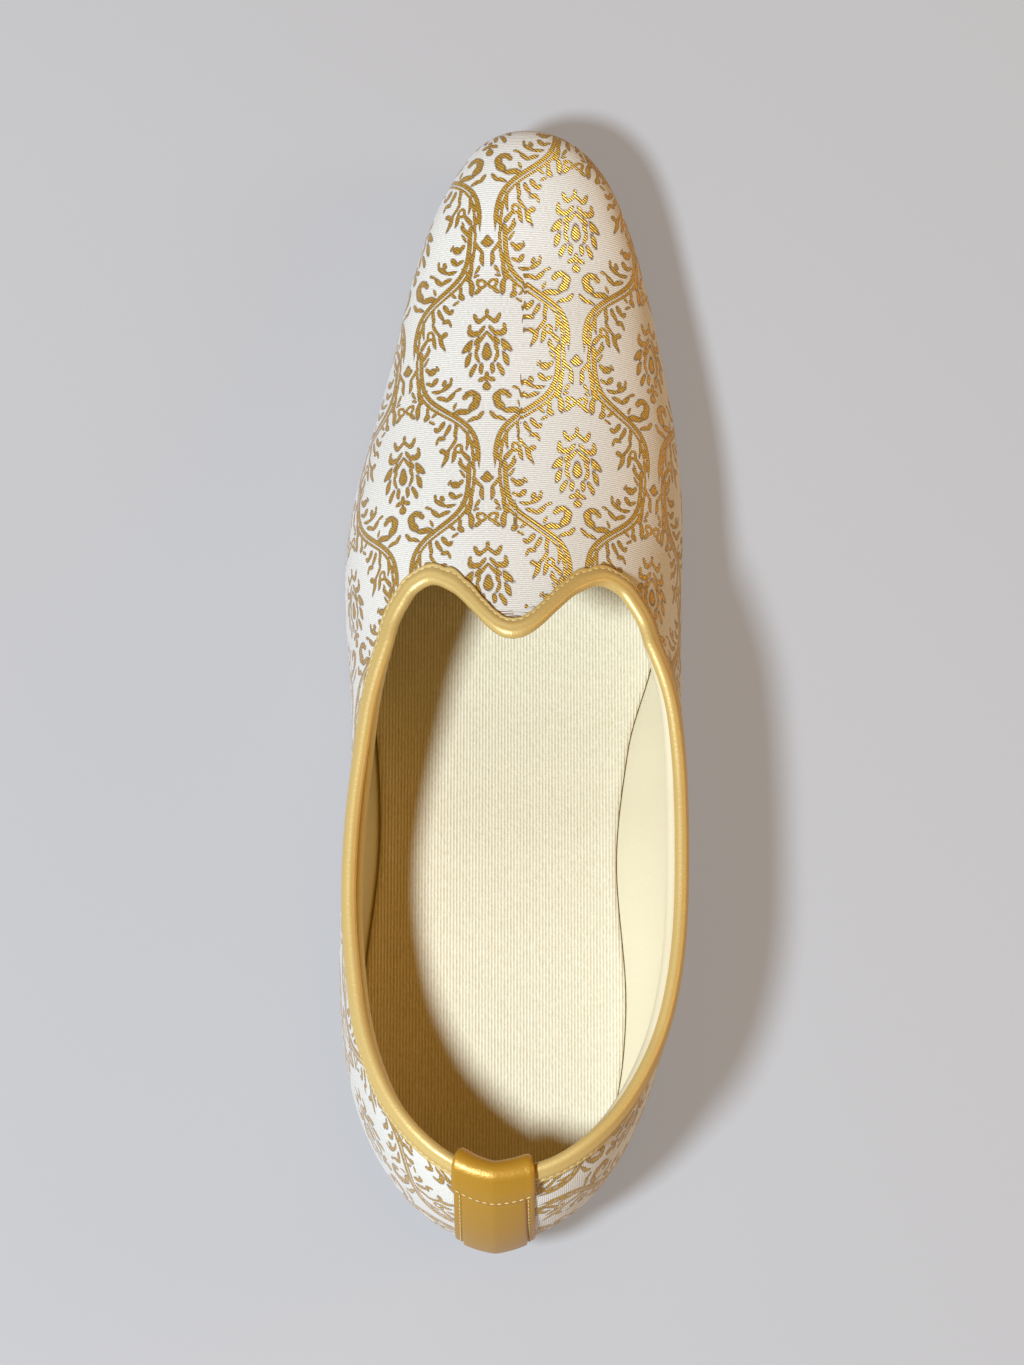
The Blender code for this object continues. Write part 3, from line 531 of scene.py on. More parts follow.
# %% Helpers for meshes
def piece(name, points, faces, replaced=None, corner_uv=None, crease=None):
    """One mesh object at the origin, its place in its mesh, riding on the shoe.

    `corner_uv` is a place in the cloth for each corner of each face. Edges that turn by more
    than `crease` degrees stay sharp.
    """
    mesh = bpy.data.meshes.new(name)
    shifted = np.reshape(points, (-1, 3)) - np.array([0.0, MIDDLE, 0.0])
    mesh.from_pydata(shifted.tolist(), [], faces if isinstance(faces, list) else faces.tolist())
    mesh.shade_smooth()
    if corner_uv is not None:
        layer = mesh.uv_layers.new(name="cloth")
        layer.data.foreach_set("uv", np.ascontiguousarray(corner_uv, dtype=np.float32).ravel())
    if crease is not None:
        mesh.set_sharp_from_angle(angle=np.radians(crease))
    thing = bpy.data.objects.new(name, mesh)
    bpy.context.scene.collection.objects.link(thing)
    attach(thing, "root")
    if replaced:
        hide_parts(replaced)
    print(f"{name}: {len(mesh.vertices)} points, {len(mesh.polygons)} faces")
    return thing


def ring_quads(columns, rows, close_columns=True, close_rows=True):
    """Corner indices of a grid's quads. A closed direction wraps from its last line to its first."""
    i = np.arange(columns if close_columns else columns - 1)[:, None]
    k = np.arange(rows if close_rows else rows - 1)[None, :]
    j, m = (i + 1) % columns, (k + 1) % rows
    corners = [i * rows + k, i * rows + m, j * rows + m, j * rows + k]
    return np.stack(np.broadcast_arrays(*corners), axis=-1).reshape(-1, 4)


def grid_uv(uv):
    """Corner UVs of a grid with one more column than points, so that a seam keeps its own values."""
    columns, rows = uv.shape[0] - 1, uv.shape[1]
    i = np.arange(columns)[:, None]
    k = np.arange(rows)[None, :]
    m = (k + 1) % rows
    return np.stack([uv[i, k], uv[i, m], uv[i + 1, m], uv[i + 1, k]], axis=2).reshape(-1, 2)


print("a closed grid of 5 by 3 points:", len(ring_quads(5, 3)), "faces")

# %% Helpers for materials
def linear(hex_colour):
    """sRGB hex to linear RGBA: the cube-like curve of the sRGB standard undone."""
    parts = np.array([int(hex_colour[i:i + 2], 16) for i in (1, 3, 5)]) / 255.0
    light = np.where(parts <= 0.04045, parts / 12.92, ((parts + 0.055) / 1.055) ** 2.4)
    return (*light.tolist(), 1.0)


def connect(tree, node, sockets):
    """Gives inputs of a node, by name or number, a value each or a link."""
    for key, value in sockets.items():
        if isinstance(value, bpy.types.NodeSocket):
            tree.links.new(value, node.inputs[key])
        else:
            node.inputs[key].default_value = value


def add(tree, kind, *values, out=0, sockets=None, **settings):
    """Adds one node and returns an output of it, or several where `out` is a tuple.

    `values` go to its first inputs in order, `sockets` to inputs by name, `settings` are its
    properties.
    """
    node = tree.nodes.new("ShaderNode" + kind)
    for key, value in settings.items():
        setattr(node, key, value)
    connect(tree, node, {**dict(enumerate(values)), **(sockets or {})})
    return [node.outputs[key] for key in out] if isinstance(out, tuple) else node.outputs[out]


def new_material(name):
    """A material with its tree and its Principled shader."""
    material = bpy.data.materials.new(name)
    material.use_nodes = True
    return material, material.node_tree, material.node_tree.nodes["Principled BSDF"]


print("middle grey in linear light:", round(linear("#808080")[0], 3))

# %% [markdown]
# ## The upper
#
# A hollow wall, 1.8 mm thick: brocade outside and smooth cream lining inside. Each point also
# gets its place in the cloth, in millimetres, as a UV: across from the middle of the vamp, and
# along the shoe. On the sides behind the throat the cloth runs along the outline instead, as it
# does on a shoe whose quarters are cut as long strips.

# %% Place in the cloth
GIRTH_STEPS = 90
GIRTH_ROWS = 401


def girth_table():
    """Length round each section, from the ridge to a height, for both sides.

    Rows are places along the shoe. Columns run from the ridge to the widest line by the angle
    of the superellipse, and then down to below the foot by depth.
    """
    y = np.linspace(0.0, LENGTH, GIRTH_ROWS)[:, None]
    angle = np.linspace(np.pi / 2.0, 0.0, GIRTH_STEPS)[None, :]
    down = np.linspace(0.0, 1.0, GIRTH_STEPS // 3)[None, 1:]
    tables = []
    for side in (0, 1):
        n = read("roundness", y)
        widest = read("low", y) + read(f"wide{side}", y)
        top = np.maximum(read("ridge", y), widest + WALL)
        half = (np.interp(y, INNER_SIDE[:, 1], INNER_SIDE[:, 0])
                - np.interp(y, OUTER_SIDE[:, 1], OUTER_SIDE[:, 0])) / 2.0
        x_up = half * np.cos(angle) ** (2.0 / n)
        z_up = widest + (top - widest) * np.sin(angle) ** (2.0 / n)
        x_low = half * (1.0 - (1.0 - read(f"foot{side}", y)) * down**2)
        z_low = widest - read(f"wide{side}", y) * down
        points = np.stack([np.hstack([x_up, x_low]), np.hstack([z_up, z_low])], axis=-1)
        tables.append(arc_length(points))
    return tables


GIRTH = girth_table()
print("ridge to foot at half the length:", round(GIRTH[0][GIRTH_ROWS // 2, -1] / MM), "mm")


def girth_at(side, y, z):
    """Girth from the ridge to a point at height z of the section at y."""
    low = read("low", y)
    rise = read(f"wide{side}", y)
    widest = low + rise
    top = np.maximum(read("ridge", y), widest + WALL)
    n = read("roundness", y)
    up = np.clip((z - widest) / (top - widest), 0.0, 1.0)
    angle = np.arctan2(up ** (n / 2.0), np.sqrt(np.maximum(1.0 - up**n, 0.0)))
    upper = (np.pi / 2.0 - angle) / (np.pi / 2.0) * (GIRTH_STEPS - 1)
    depth = np.clip((widest - z) / rise, 0.0, 1.0) * (GIRTH_STEPS // 3 - 1)
    column = upper + depth
    row = np.clip(y / LENGTH, 0.0, 1.0) * (GIRTH_ROWS - 1)
    i = np.clip(row.astype(int), 0, GIRTH_ROWS - 2)
    j = np.clip(column.astype(int), 0, GIRTH[side].shape[1] - 2)
    a, b = row - i, column - j
    table = GIRTH[side]
    return ((table[i, j] * (1 - b) + table[i, j + 1] * b) * (1 - a)
            + (table[i + 1, j] * (1 - b) + table[i + 1, j + 1] * b) * a)


ridge_arc = arc_length(np.column_stack([DENSE_Y, DENSE["ridge"]]))
throat_y = THROAT_SHARE * LENGTH

# Over the toe the cloth spreads evenly from a point on the ridge, as over a dome.
DOME_Y = LENGTH - 30.0 * MM
DOME_RADIUS = 25.0 * MM
# The knee, where the toe turns down, lies this high above the widest line. To the sides and
# behind the dome's top it comes lower, down to a fifth, over a way of 10 mm.
KNEE = 4.0 * MM
KNEE_WAY = 10.0 * MM
KNEE_LEAST = 0.2
# Half the way over which one kind of place turns to another: at the throat and at the dome.
THROAT_BLEND = 6.0 * MM
DOME_BLEND = 12.0 * MM


def dome_place(points, climb):
    """Azimuthal map about the dome's top: the way's length on a sphere, the plan's direction.

    The arc over a chord is the chord times 1 + (chord / radius)^2 / 24, the start of its series.
    Below the knee, where the toe turns down, the way goes on by the length of the wall itself.
    """
    top = np.array([centre_line(DOME_Y), DOME_Y, read("ridge", DOME_Y)])
    away = points - top
    chord = np.linalg.norm(away, axis=-1)
    way = chord * (1.0 + (chord / DOME_RADIUS) ** 2 / 24.0)
    over = points[..., 2] - foot_line(points[..., 1]) - EQUATOR_RISE
    knee_height = KNEE * np.clip(away[..., 1] / KNEE_WAY, KNEE_LEAST, 1.0)
    knee = np.argmax(over > knee_height, axis=1)[:, None]
    below = np.arange(points.shape[1])[None, :] < knee
    further = np.take_along_axis(way + climb, knee, axis=1) - climb
    way = np.where(below, further, way)
    direction = away[..., :2] / np.maximum(np.linalg.norm(away[..., :2], axis=-1), 1e-6)[..., None]
    start = np.array([top[0], np.interp(DOME_Y, DENSE_Y, ridge_arc)])
    return start + way[..., None] * direction


def cloth_place(points, columns, side):
    """UV in millimetres: across from the middle of the vamp, and along the ridge's length."""
    y = points[..., 1]
    sign = -1.0 if side == 0 else 1.0
    front = np.maximum(y, throat_y)
    girth = girth_at(side, y, points[..., 2])
    across = sign * girth + centre_line(front)
    foot_y = np.broadcast_to(y[:, :1], y.shape)
    foot_z = np.broadcast_to(points[:, :1, 2], y.shape)
    climb = np.linalg.norm(np.diff(points, axis=1), axis=-1)
    climb = np.concatenate([np.zeros((len(points), 1)), np.cumsum(climb, axis=1)], axis=1)
    foot_front = np.maximum(foot_y, throat_y)
    from_foot = sign * (girth_at(side, foot_front, foot_z) - climb) + centre_line(foot_front)
    behind = np.clip((throat_y + THROAT_BLEND - y) / (2.0 * THROAT_BLEND), 0.0, 1.0)
    across = across * (1.0 - behind) + from_foot * behind
    along = np.interp(front, DENSE_Y, ridge_arc)
    back = np.minimum(wall.around[columns], 0.0)[:, None]
    along = along + np.where(y < throat_y, back, 0.0)
    share = np.clip((y - DOME_Y + DOME_BLEND) / (2.0 * DOME_BLEND), 0.0, 1.0)[..., None]
    share = share**2 * (3.0 - 2.0 * share)
    place = np.stack([across, along], axis=-1) * (1.0 - share) + dome_place(points, climb) * share
    return place / MM


# %% The wall's mesh
OUTER_ROWS = 120
INNER_ROWS = 30

# The grid runs up the outside from the foot to the topline, and down the inside to the foot.
share = np.linspace(0.0, 1.0, OUTER_ROWS) ** CROWDING
outer_rows = wall.lengths[:, -1:] * (1.0 - share[None, :])
outer_grid = wall.at(outer_rows, 0.0)
share = np.linspace(1.0, 0.0, INNER_ROWS)
inner_grid = wall.at(wall.lengths[:, -1:] * (1.0 - share[None, :]), -WALL)
# The foot's cut is flat: there the wall's thickness is measured level, at most doubled.
foot_normal = wall.normals[:, 0]
steepness = np.clip(np.linalg.norm(foot_normal[:, :2], axis=1), 0.5, 1.0)[:, None]
flat_normal = foot_normal * np.array([1.0, 1.0, 0.0])
flat_normal /= np.linalg.norm(flat_normal, axis=1)[:, None]
inner_grid[:, -1] = outer_grid[:, 0] - flat_normal * WALL / steepness
shell = np.concatenate([outer_grid, inner_grid], axis=1)
index = np.arange(COLUMNS + 1)
outer_half = index <= wall.tongue
wrapped = index % COLUMNS
uv = np.where(
    outer_half[:, None, None],
    cloth_place(shell[wrapped], wrapped, 0),
    cloth_place(shell[wrapped], wrapped, 1),
)
upper = piece(
    "upper_shell", shell, ring_quads(COLUMNS, shell.shape[1]), "upper",
    grid_uv(uv),
)
print("cloth across", uv[..., 0].min().round(1), uv[..., 0].max().round(1), "mm")

# %% [markdown]
# ## Collar binding
#
# A bias strip of metallic coated leather is folded over the topline and stitched through both
# leaves. Its leaves are a little padded and their lower edges are turned in, so the section is a
# fold with soft swollen sides. The UV runs along the collar and around the section, in
# millimetres.

# %% Binding
LEAF = np.array([0.0, 0.03, 0.08, 0.14, 0.2, 0.26, 0.32, 0.4, 0.5, 0.62, 0.75, 0.88, 1.0])
ROLL_ROWS = 15
FACE = GAP + BINDING_SHEET
STITCH_LINE = 0.26
# The inner leaf isn't padded: it is half as thick as the outer one.
THIN = 0.5
# Shares of the leaf: its turned edge, the groove's half width and where the swell begins.
TURNED = 0.14
GROOVE_WIDTH = 0.06
SWELL_FROM = 0.3
SWELL = 0.3 * MM
GROOVE = 0.22 * MM
# The side that lies on the wall stops short of the turned edges, at this share.
SHORT = 0.9


def leaf(share):
    """Offset off the wall over a leaf: a turned edge, the groove of the stitches, a soft swell.

    The edge is a quarter circle that rises from a quarter of the thickness, the groove a bell
    curve, and the swell a squared sine from beside the groove to the fold.
    """
    edge = np.sqrt(np.clip(1.0 - (1.0 - np.clip(share / TURNED, 0.0, 1.0)) ** 2, 0.0, 1.0))
    groove = np.exp(-(((share - STITCH_LINE) / GROOVE_WIDTH) ** 2))
    swell = np.sin(np.pi * np.clip((share - SWELL_FROM) / (1.0 - SWELL_FROM), 0.0, 1.0)) ** 2
    return FACE * (0.25 + 0.75 * edge) + SWELL * swell - GROOVE * groove


share = LEAF
outside_leaf = (BINDING_OUTSIDE / slant)[:, None]
inside_leaf = (BINDING_INSIDE / slant)[:, None]
angles = np.linspace(0.0, np.pi, ROLL_ROWS)[None, 1:-1]
ones = np.ones((COLUMNS, 1))
radius = (WALL + (1.0 + THIN) * FACE) / 2.0
distances = np.hstack([
    outside_leaf * (1.0 - share), -ones * radius * np.sin(angles), inside_leaf * share,
    inside_leaf * SHORT, ones * -GAP, outside_leaf * SHORT,
])
near = WALL + GAP / 2.0
offsets = np.concatenate([
    leaf(share), FACE - radius * (1.0 - np.cos(angles[0])), -WALL - THIN * leaf(share[::-1]),
    [-near, -near, GAP / 2.0],
])
binding_grid = wall.at(distances, offsets[None, :])
topline = wall.curves[:, -1]
along = np.concatenate([arc_length(topline), [0.0]])
along[-1] = along[-2] + np.linalg.norm(topline[0] - topline[-1])
around = arc_length(binding_grid)[np.arange(COLUMNS + 1) % COLUMNS]
uv = np.stack([np.broadcast_to(along[:, None], around.shape), around], axis=-1) / MM
binding = piece(
    "binding_roll", binding_grid, ring_quads(COLUMNS, binding_grid.shape[1]),
    "collar_binding", grid_uv(uv),
)
print("collar round:", round(along[-1] / MM), "mm")

# %% Facing, the narrow lining tape below the roll
# From under the roll down to its hem, which is left thin.
FACING_TOP = 2.8 * MM
FACING_HEM = 8.0 * MM
FACING_ROWS = 9
HEM_THICKNESS = 0.4 * MM
# Padding: added by a squared sine that is full at three quarters of the way up.
PADDING = 2.2 * MM
PADDED_AT = 0.75

share = np.linspace(0.0, 1.0, FACING_ROWS)
rise = np.sin(np.pi / 2.0 * np.clip(share / PADDED_AT, 0.0, 1.0)) ** 2
bulge = HEM_THICKNESS + PADDING * rise
# Its two edges are rounded off.
bulge[0] = 0.05 * MM
bulge[-1] = 1.2 * MM
front = np.linspace(FACING_HEM, FACING_TOP, FACING_ROWS)
distances = np.concatenate([front, [FACING_TOP, FACING_HEM]])[None, :] / slant[:, None]
offsets = np.concatenate([-WALL - 0.06 * MM - bulge, [-WALL + 0.2 * MM] * 2])
facing_grid = wall.at(distances, offsets[None, :])
quads = ring_quads(COLUMNS, facing_grid.shape[1])
facing = piece("facing_tape", facing_grid, quads[:, ::-1])

# %% [markdown]
# ## Heel strip
#
# A gilt tape covers the back seam. It runs up the heel, over the binding and a little way down
# inside. Its middle panel is padded and has a slight ridge where the seam lies under it, and its
# thin flanges are stitched down on both sides. The tape's upper end is folded over the collar as
# a wider cap. It is one closed sheet here: an outer and an inner grid over the same columns.

# %% Strip
# The seam's ridge along the panel's middle, and widths over which the panel's and the tape's
# edges round off.
SEAM_RIDGE = 1.0 * MM
PANEL_ROUND = 0.35 * MM
RIM_ROUND = 0.4 * MM
# The cap: the tape's end folded over the collar, as wide as the flanges. Its hem hangs in a curve.
CAP_DROP = 7.6 * MM
CAP_CURVE = 1.6 * MM
CAP_THICKNESS = 1.5 * MM
# Where the cap bends over the roll its sides puff up, and its middle is creased.
PUFF = 2.0 * MM
WALL_ROWS = 40

chosen = np.concatenate([
    np.arange(COLUMNS - STRIP_COLUMNS + 1, COLUMNS), np.arange(STRIP_COLUMNS),
])
across = np.concatenate([-STRIP_EDGES[:0:-1], STRIP_EDGES])
panel = np.clip((HALF_PANEL + 0.1 * MM - np.abs(across)) / PANEL_ROUND, 0.0, 1.0)
rim = np.clip((HALF_PANEL + FLANGE_WIDTH - np.abs(across)) / RIM_ROUND, 0.0, 1.0)
ridge = SEAM_RIDGE * (1.0 - np.minimum(np.abs(across) / HALF_PANEL, 1.0))
thickness = FLANGE_THICKNESS * (0.4 + 0.6 * np.sqrt(rim))
thickness += (PANEL_THICKNESS - FLANGE_THICKNESS + ridge) * np.sqrt(panel)
depth = np.zeros(COLUMNS)
depth[chosen] = thickness
# Height of the binding that the cap lies on, and the cap's own edges, rounded off.
over = 2.0 * GAP + BINDING_SHEET
round_off = 0.25 + 0.75 * np.sqrt(rim)
cap_depth = np.zeros(COLUMNS)
cap_depth[chosen] = (CAP_THICKNESS + 0.8 * ridge) * round_off
crease = np.zeros(COLUMNS)
crease[chosen] = (PUFF - 1.8 * ridge) * round_off
hang = np.zeros(COLUMNS)
hang[chosen] = np.abs(across) / (HALF_PANEL + FLANGE_WIDTH)
cap_low = CAP_DROP - CAP_CURVE * hang**2
# Two grids, of the tape's underside and of its outside: up the wall, over the binding with a
# rounded hem and a soft swell, round the topline in a half circle, and down inside.
layers = []
for lift in (np.zeros(COLUMNS), depth):
    total = wall.lengths[:, -1] - 1.0 * MM
    top = cap_low + 0.1 * MM
    rows = [total + (top - total) * s for s in np.linspace(0.0, 1.0, WALL_ROWS)]
    lifts = [GAP + lift] * WALL_ROWS
    cap, inner_cap = (cap_depth, crease) if lift.any() else (lift, lift)
    for s in LEAF:
        hem = np.sqrt(1.0 - (1.0 - np.minimum(s / 0.06, 1.0)) ** 2)
        rows.append(cap_low * (1.0 - s))
        lifts.append(over + cap * (0.55 + 0.45 * hem) + 0.25 * MM * np.sin(np.pi * s) ** 2)
    for angle in angles[0]:
        both = cap + (inner_cap - cap) * (1.0 - np.cos(angle)) / 2.0
        rows.append(-(WALL / 2.0 + over + both) * np.sin(angle))
        lifts.append(-WALL / 2.0 + (WALL / 2.0 + over + both) * np.cos(angle))
    for s in np.linspace(0.0, 1.0, 9):
        rows.append(np.full(COLUMNS, STRIP_INSIDE * s))
        lifts.append(-WALL - over - inner_cap * np.sqrt(np.clip((1.0 - s) / 0.1, 0.3, 1.0)))
    layers.append(wall.at(np.column_stack(rows), np.column_stack(lifts))[chosen])
# Joined at both ends of the tape, and its two sides closed with quads across.
strip_grid = np.concatenate([layers[1], layers[0][:, ::-1]], axis=1)
quads = ring_quads(len(chosen), strip_grid.shape[1], close_columns=False)
count = strip_grid.shape[1]
k = np.arange(count // 2 - 1)
first = np.stack([k, count - 1 - k, count - 2 - k, k + 1], axis=-1)
last = np.stack([k, k + 1, count - 2 - k, count - 1 - k], axis=-1) + count * (len(chosen) - 1)
strip = piece(
    "strip_tape", strip_grid, np.concatenate([quads, first, last]), "heel_strip",
)

# %% [markdown]
# ## Footbed, sole and heel
#
# The footbed is a foam sheet faced with ribbed cloth. It lies inside the wall, and its edge
# rises a little where it meets it. Sole and heel are moulded rubber. The photograph hides them,
# so they are kept plain: rounded edges, a groove round the sole and a straight heel breast.

# %% Plates
SOLE_STEPS = 150
ring_foot = wall.curves[:, 0]
inner_foot = inner_grid[:, -1]


def inset(edge, distance):
    """A closed outline moved inwards, or outwards if the distance is negative."""
    tangent = np.roll(edge, -1, axis=0) - np.roll(edge, 1, axis=0)
    normal = np.column_stack([-tangent[:, 1], tangent[:, 0]])
    normal /= np.linalg.norm(normal, axis=1)[:, None]
    return edge[:, :2] - normal * distance


def ring_level(edge, end):
    """One outline read at the same places along the shoe on both sides, as a closed ring.

    Where an `end` is given, the ring stops there with a straight side, like the heel's breast.
    """
    heel = int(np.argmin(edge[:, 1]))
    rolled = np.roll(edge, -heel, axis=0)
    toe = int(np.argmax(rolled[:, 1]))
    outer, inner = rolled[: toe + 1], np.vstack([rolled[toe:], rolled[:1]])[::-1]
    even = np.linspace(0.0, 1.0, SOLE_STEPS + 1)
    share = 1.0 - np.cos(even * np.pi / 2.0) if end else (1.0 - np.cos(even * np.pi)) / 2.0
    y = outer[0, 1] + ((end or outer[-1, 1]) - outer[0, 1]) * share
    left = np.interp(y, outer[:, 1], outer[:, 0])
    right = np.interp(y, inner[:, 1], inner[:, 0])
    stop = 0 if end else 1
    x = np.concatenate([left, right[::-1][stop:-1]])
    return np.column_stack([x, np.concatenate([y, y[::-1][stop:-1]])])


def plate(name, rings, node):
    """A closed plate from rings of outline, height function and end, bottom ring first."""
    levels = []
    for edge, height, end in rings:
        ring = ring_level(edge, end)
        levels.append(np.column_stack([ring, height(ring[:, 1])]))
    grid = np.array(levels)
    count = grid.shape[1]
    quads = ring_quads(len(levels), count, close_columns=False)
    cut = 1 if rings[0][2] else 0
    k = np.arange(1, SOLE_STEPS - 1 + cut)
    other = count - k
    strips = np.stack([k, k + 1, other - 1, other], axis=-1)
    bottom = [*strips.tolist(), [0, 1, count - 1]]
    if not cut:
        bottom.append([SOLE_STEPS - 1, SOLE_STEPS, SOLE_STEPS + 1])
    lid = (len(levels) - 1) * count
    top = [[corner + lid for corner in face[::-1]] for face in bottom]
    mesh_faces = [face[::-1] for face in quads.tolist()] + bottom + top
    return piece(name, grid, mesh_faces, node, crease=50.0)


# The sole's edges are rounded by a quarter circle of this radius.
ROUND = 1.1 * MM
# A groove runs round it: height and depth of each line, in millimetres.
SOLE_GROOVE = ((1.9, 0.0), (2.2, 0.35), (2.5, 0.35), (2.8, 0.0))

levels = []
for turn in np.linspace(-np.pi / 2.0, 0.0, 5):
    edge = inset(ring_foot, ROUND * (1.0 - np.cos(turn)) - SOLE_MARGIN)
    rise = ROUND * (1.0 + np.sin(turn))
    levels.append((edge, lambda y, rise=rise: sole_bottom(y) + rise, None))
for rise, groove in SOLE_GROOVE:
    edge = inset(ring_foot, groove * MM - SOLE_MARGIN)
    levels.append((edge, lambda y, rise=rise: sole_bottom(y) + rise * MM, None))
for turn in np.linspace(0.0, np.pi / 2.0, 5):
    edge = inset(ring_foot, ROUND * (1.0 - np.cos(turn)) - SOLE_MARGIN)
    drop = ROUND * (1.0 - np.sin(turn))
    levels.append((edge, lambda y, drop=drop: sole_top(y) - drop, None))
sole = plate("sole_sheet", levels, "outsole")

# %% Heel
# The heel lies inside the sole's edge. Its lines: height and inset in millimetres. It is
# chamfered below, and a groove at half height parts its two lifts.
HEEL_INSET = 0.8 * MM
HEEL_LINES = (
    (0.0, 0.5), (0.15, 0.15), (0.5, 0.0), (4.6, 0.0), (4.9, 0.3), (5.2, 0.0), (9.6, 0.0),
    (10.0, 0.1),
)

levels = []
for rise, margin in HEEL_LINES:
    taper = HEEL_TAPER * (1.0 - rise * MM / HEEL_HEIGHT)
    edge = inset(ring_foot, HEEL_INSET - SOLE_MARGIN + taper + margin * MM)
    end = HEEL_LENGTH - taper - margin * MM
    levels.append((edge, lambda y, rise=rise: 0.0 * y + rise * MM, end))
heel = plate("heel_lift", levels, "heel_block")

# %% Footbed
# The lowest 14 mm of the wall, in steps of 0.25 mm, are searched for a height.
CLIMB = 14.0 * MM
CLIMB_STEPS = 57
# The bed's edge: its height above the foot of the wall, and its way off the wall at that height.
BED_RISE = 3.3 * MM
BED_GAP = 0.65 * MM
# Lines of its top, in millimetres: way inwards from the edge, and height. The edge stands up.
BED_LINES = ((0.0, 3.3), (0.4, 3.65), (1.2, 3.7), (2.5, 3.45), (4.5, 3.15), (7.0, 3.0))


def inner_ring(rise):
    """Outline of the space inside the wall at a height above its foot."""
    climb = np.linspace(0.0, CLIMB, CLIMB_STEPS)[None, :]
    sheet = wall.at(wall.lengths[:, -1:] - climb, -WALL - GAP / 2.0)
    over = sheet[..., 2] - foot_line(sheet[..., 1])
    over = np.maximum.accumulate(over, axis=1)
    place = np.array([np.interp(rise, row, np.arange(float(CLIMB_STEPS))) for row in over])
    low = np.clip(place.astype(int), 0, CLIMB_STEPS - 2)
    part = (place - low)[:, None]
    index = np.arange(COLUMNS)
    return sheet[index, low] * (1.0 - part) + sheet[index, low + 1] * part


bed_edge = inset(inner_ring(BED_RISE), BED_GAP)
levels = [(inset(inner_foot, GAP), lambda y: foot_line(y) + 0.1 * MM, None)]
for inward, rise in BED_LINES:
    edge = inset(bed_edge, inward * MM)
    levels.append((edge, lambda y, rise=rise: foot_line(y) + rise * MM, None))
footbed = plate("footbed", levels, "insole")

# %% [markdown]
# ## Stitches
#
# Every seam that shows is a row of small lock stitches. Each is a bead of thread lying between
# its two needle holes: thick in the middle and sunk at its ends. They are real meshes, joined
# into one piece, because a bump can't cast the tiny shadows that make thread read as thread.

# %% Beads of thread
# A bead's corners round it, and its rings between its two ends.
ROUND_STEPS = 6
RING_STEPS = 4


def beads(path, lift, pitch, length, width):
    """Ellipsoids along a path: `path` and `lift` are points, and the points above them."""
    run = arc_length(path)
    count = max(int(run[-1] / pitch), 1)
    centre = (np.arange(count) + 0.5) * run[-1] / count
    ends = [along_curve(path, np.clip(centre + s * length / 2.0, 0.0, run[-1])) for s in (-1, 1)]
    high = np.stack([np.interp(centre, run, lift[:, k]) for k in range(3)], axis=-1)
    middle = (ends[0] + ends[1]) / 2.0
    forward = ends[1] - ends[0]
    forward /= np.linalg.norm(forward, axis=1)[:, None]
    up = high - along_curve(path, centre)
    up -= forward * np.sum(up * forward, axis=1)[:, None]
    up /= np.linalg.norm(up, axis=1)[:, None]
    side = np.cross(forward, up)
    turn = np.linspace(0.0, 2.0 * np.pi, ROUND_STEPS, endpoint=False)
    climb = np.linspace(0.0, np.pi, RING_STEPS + 2)[1:-1]
    round_x = np.cos(climb)[:, None] * np.ones(ROUND_STEPS)
    round_y = np.sin(climb)[:, None] * np.cos(turn)
    round_z = np.sin(climb)[:, None] * np.sin(turn)
    ball = np.stack([round_x, round_y, round_z], axis=-1).reshape(-1, 3)
    ball = np.vstack([[1.0, 0.0, 0.0], ball, [-1.0, 0.0, 0.0]])
    ball *= np.array([length / 2.0, width / 2.0, width / 2.6])
    points = (middle[:, None] + ball[None, :, :1] * forward[:, None]
              + ball[None, :, 1:2] * side[:, None] + ball[None, :, 2:] * up[:, None])
    j = np.arange(ROUND_STEPS)
    n = (j + 1) % ROUND_STEPS
    end = 0 * j + len(ball) - 1
    faces = [np.stack([0 * j, 1 + n, 1 + j, 1 + j], axis=-1)]
    for row in range(RING_STEPS - 1):
        a = 1 + row * ROUND_STEPS
        b = a + ROUND_STEPS
        faces.append(np.stack([a + j, a + n, b + n, b + j], axis=-1))
    faces.append(np.stack([b + j, b + n, end, end], axis=-1))
    faces = np.concatenate(faces)
    return points, faces[None] + (np.arange(count) * len(ball))[:, None, None]


def join_beads(name, rows):
    """All rows as one mesh. A corner given twice makes its quad a triangle."""
    points, faces, start = [], [], 0
    for row_points, row_faces in rows:
        points.append(row_points.reshape(-1, 3))
        faces.append(row_faces.reshape(-1, 4) + start)
        start += len(points[-1])
    faces = np.concatenate(faces).tolist()
    faces = [face[:3] if face[2] == face[3] else face for face in faces]
    return piece(name, np.concatenate(points), faces)


def wall_path(from_edge, offset):
    """A closed path over the wall, and the same path 1 mm off it, for a row of stitches."""
    lines = []
    for extra in (0.0, np.copysign(1.0 * MM, offset)):
        line = wall.at(np.reshape(from_edge, (-1, 1)) * ones, offset + extra)[:, 0]
        lines.append(np.vstack([line, line[:1]]))
    return lines


# %% Rows along the collar
# Pitch, length and width of a stitch.
STITCH = (1.9 * MM, 1.5 * MM, 0.5 * MM)
# A stitch's middle lies just above the leather, pulled a little into it.
PROUD = 0.08 * MM
# The row inside: its way down from the edge, and off the wall's inner side, on the padding.
INNER_LINE = 4.75 * MM
INNER_LIFT = 2.45 * MM

outer_line = BINDING_OUTSIDE * (1.0 - STITCH_LINE) / slant
rows = [
    beads(*wall_path(outer_line, leaf(STITCH_LINE) + PROUD), *STITCH),
    beads(*wall_path(INNER_LINE / slant, -WALL - INNER_LIFT), *STITCH),
]
binding_stitches = join_beads("binding_stitches", rows)

# %% Rows along the strip
FLANGE_STITCH = (1.7 * MM, 1.4 * MM, 0.45 * MM)
HEM_STITCH = (1.7 * MM, 1.3 * MM, 0.45 * MM)
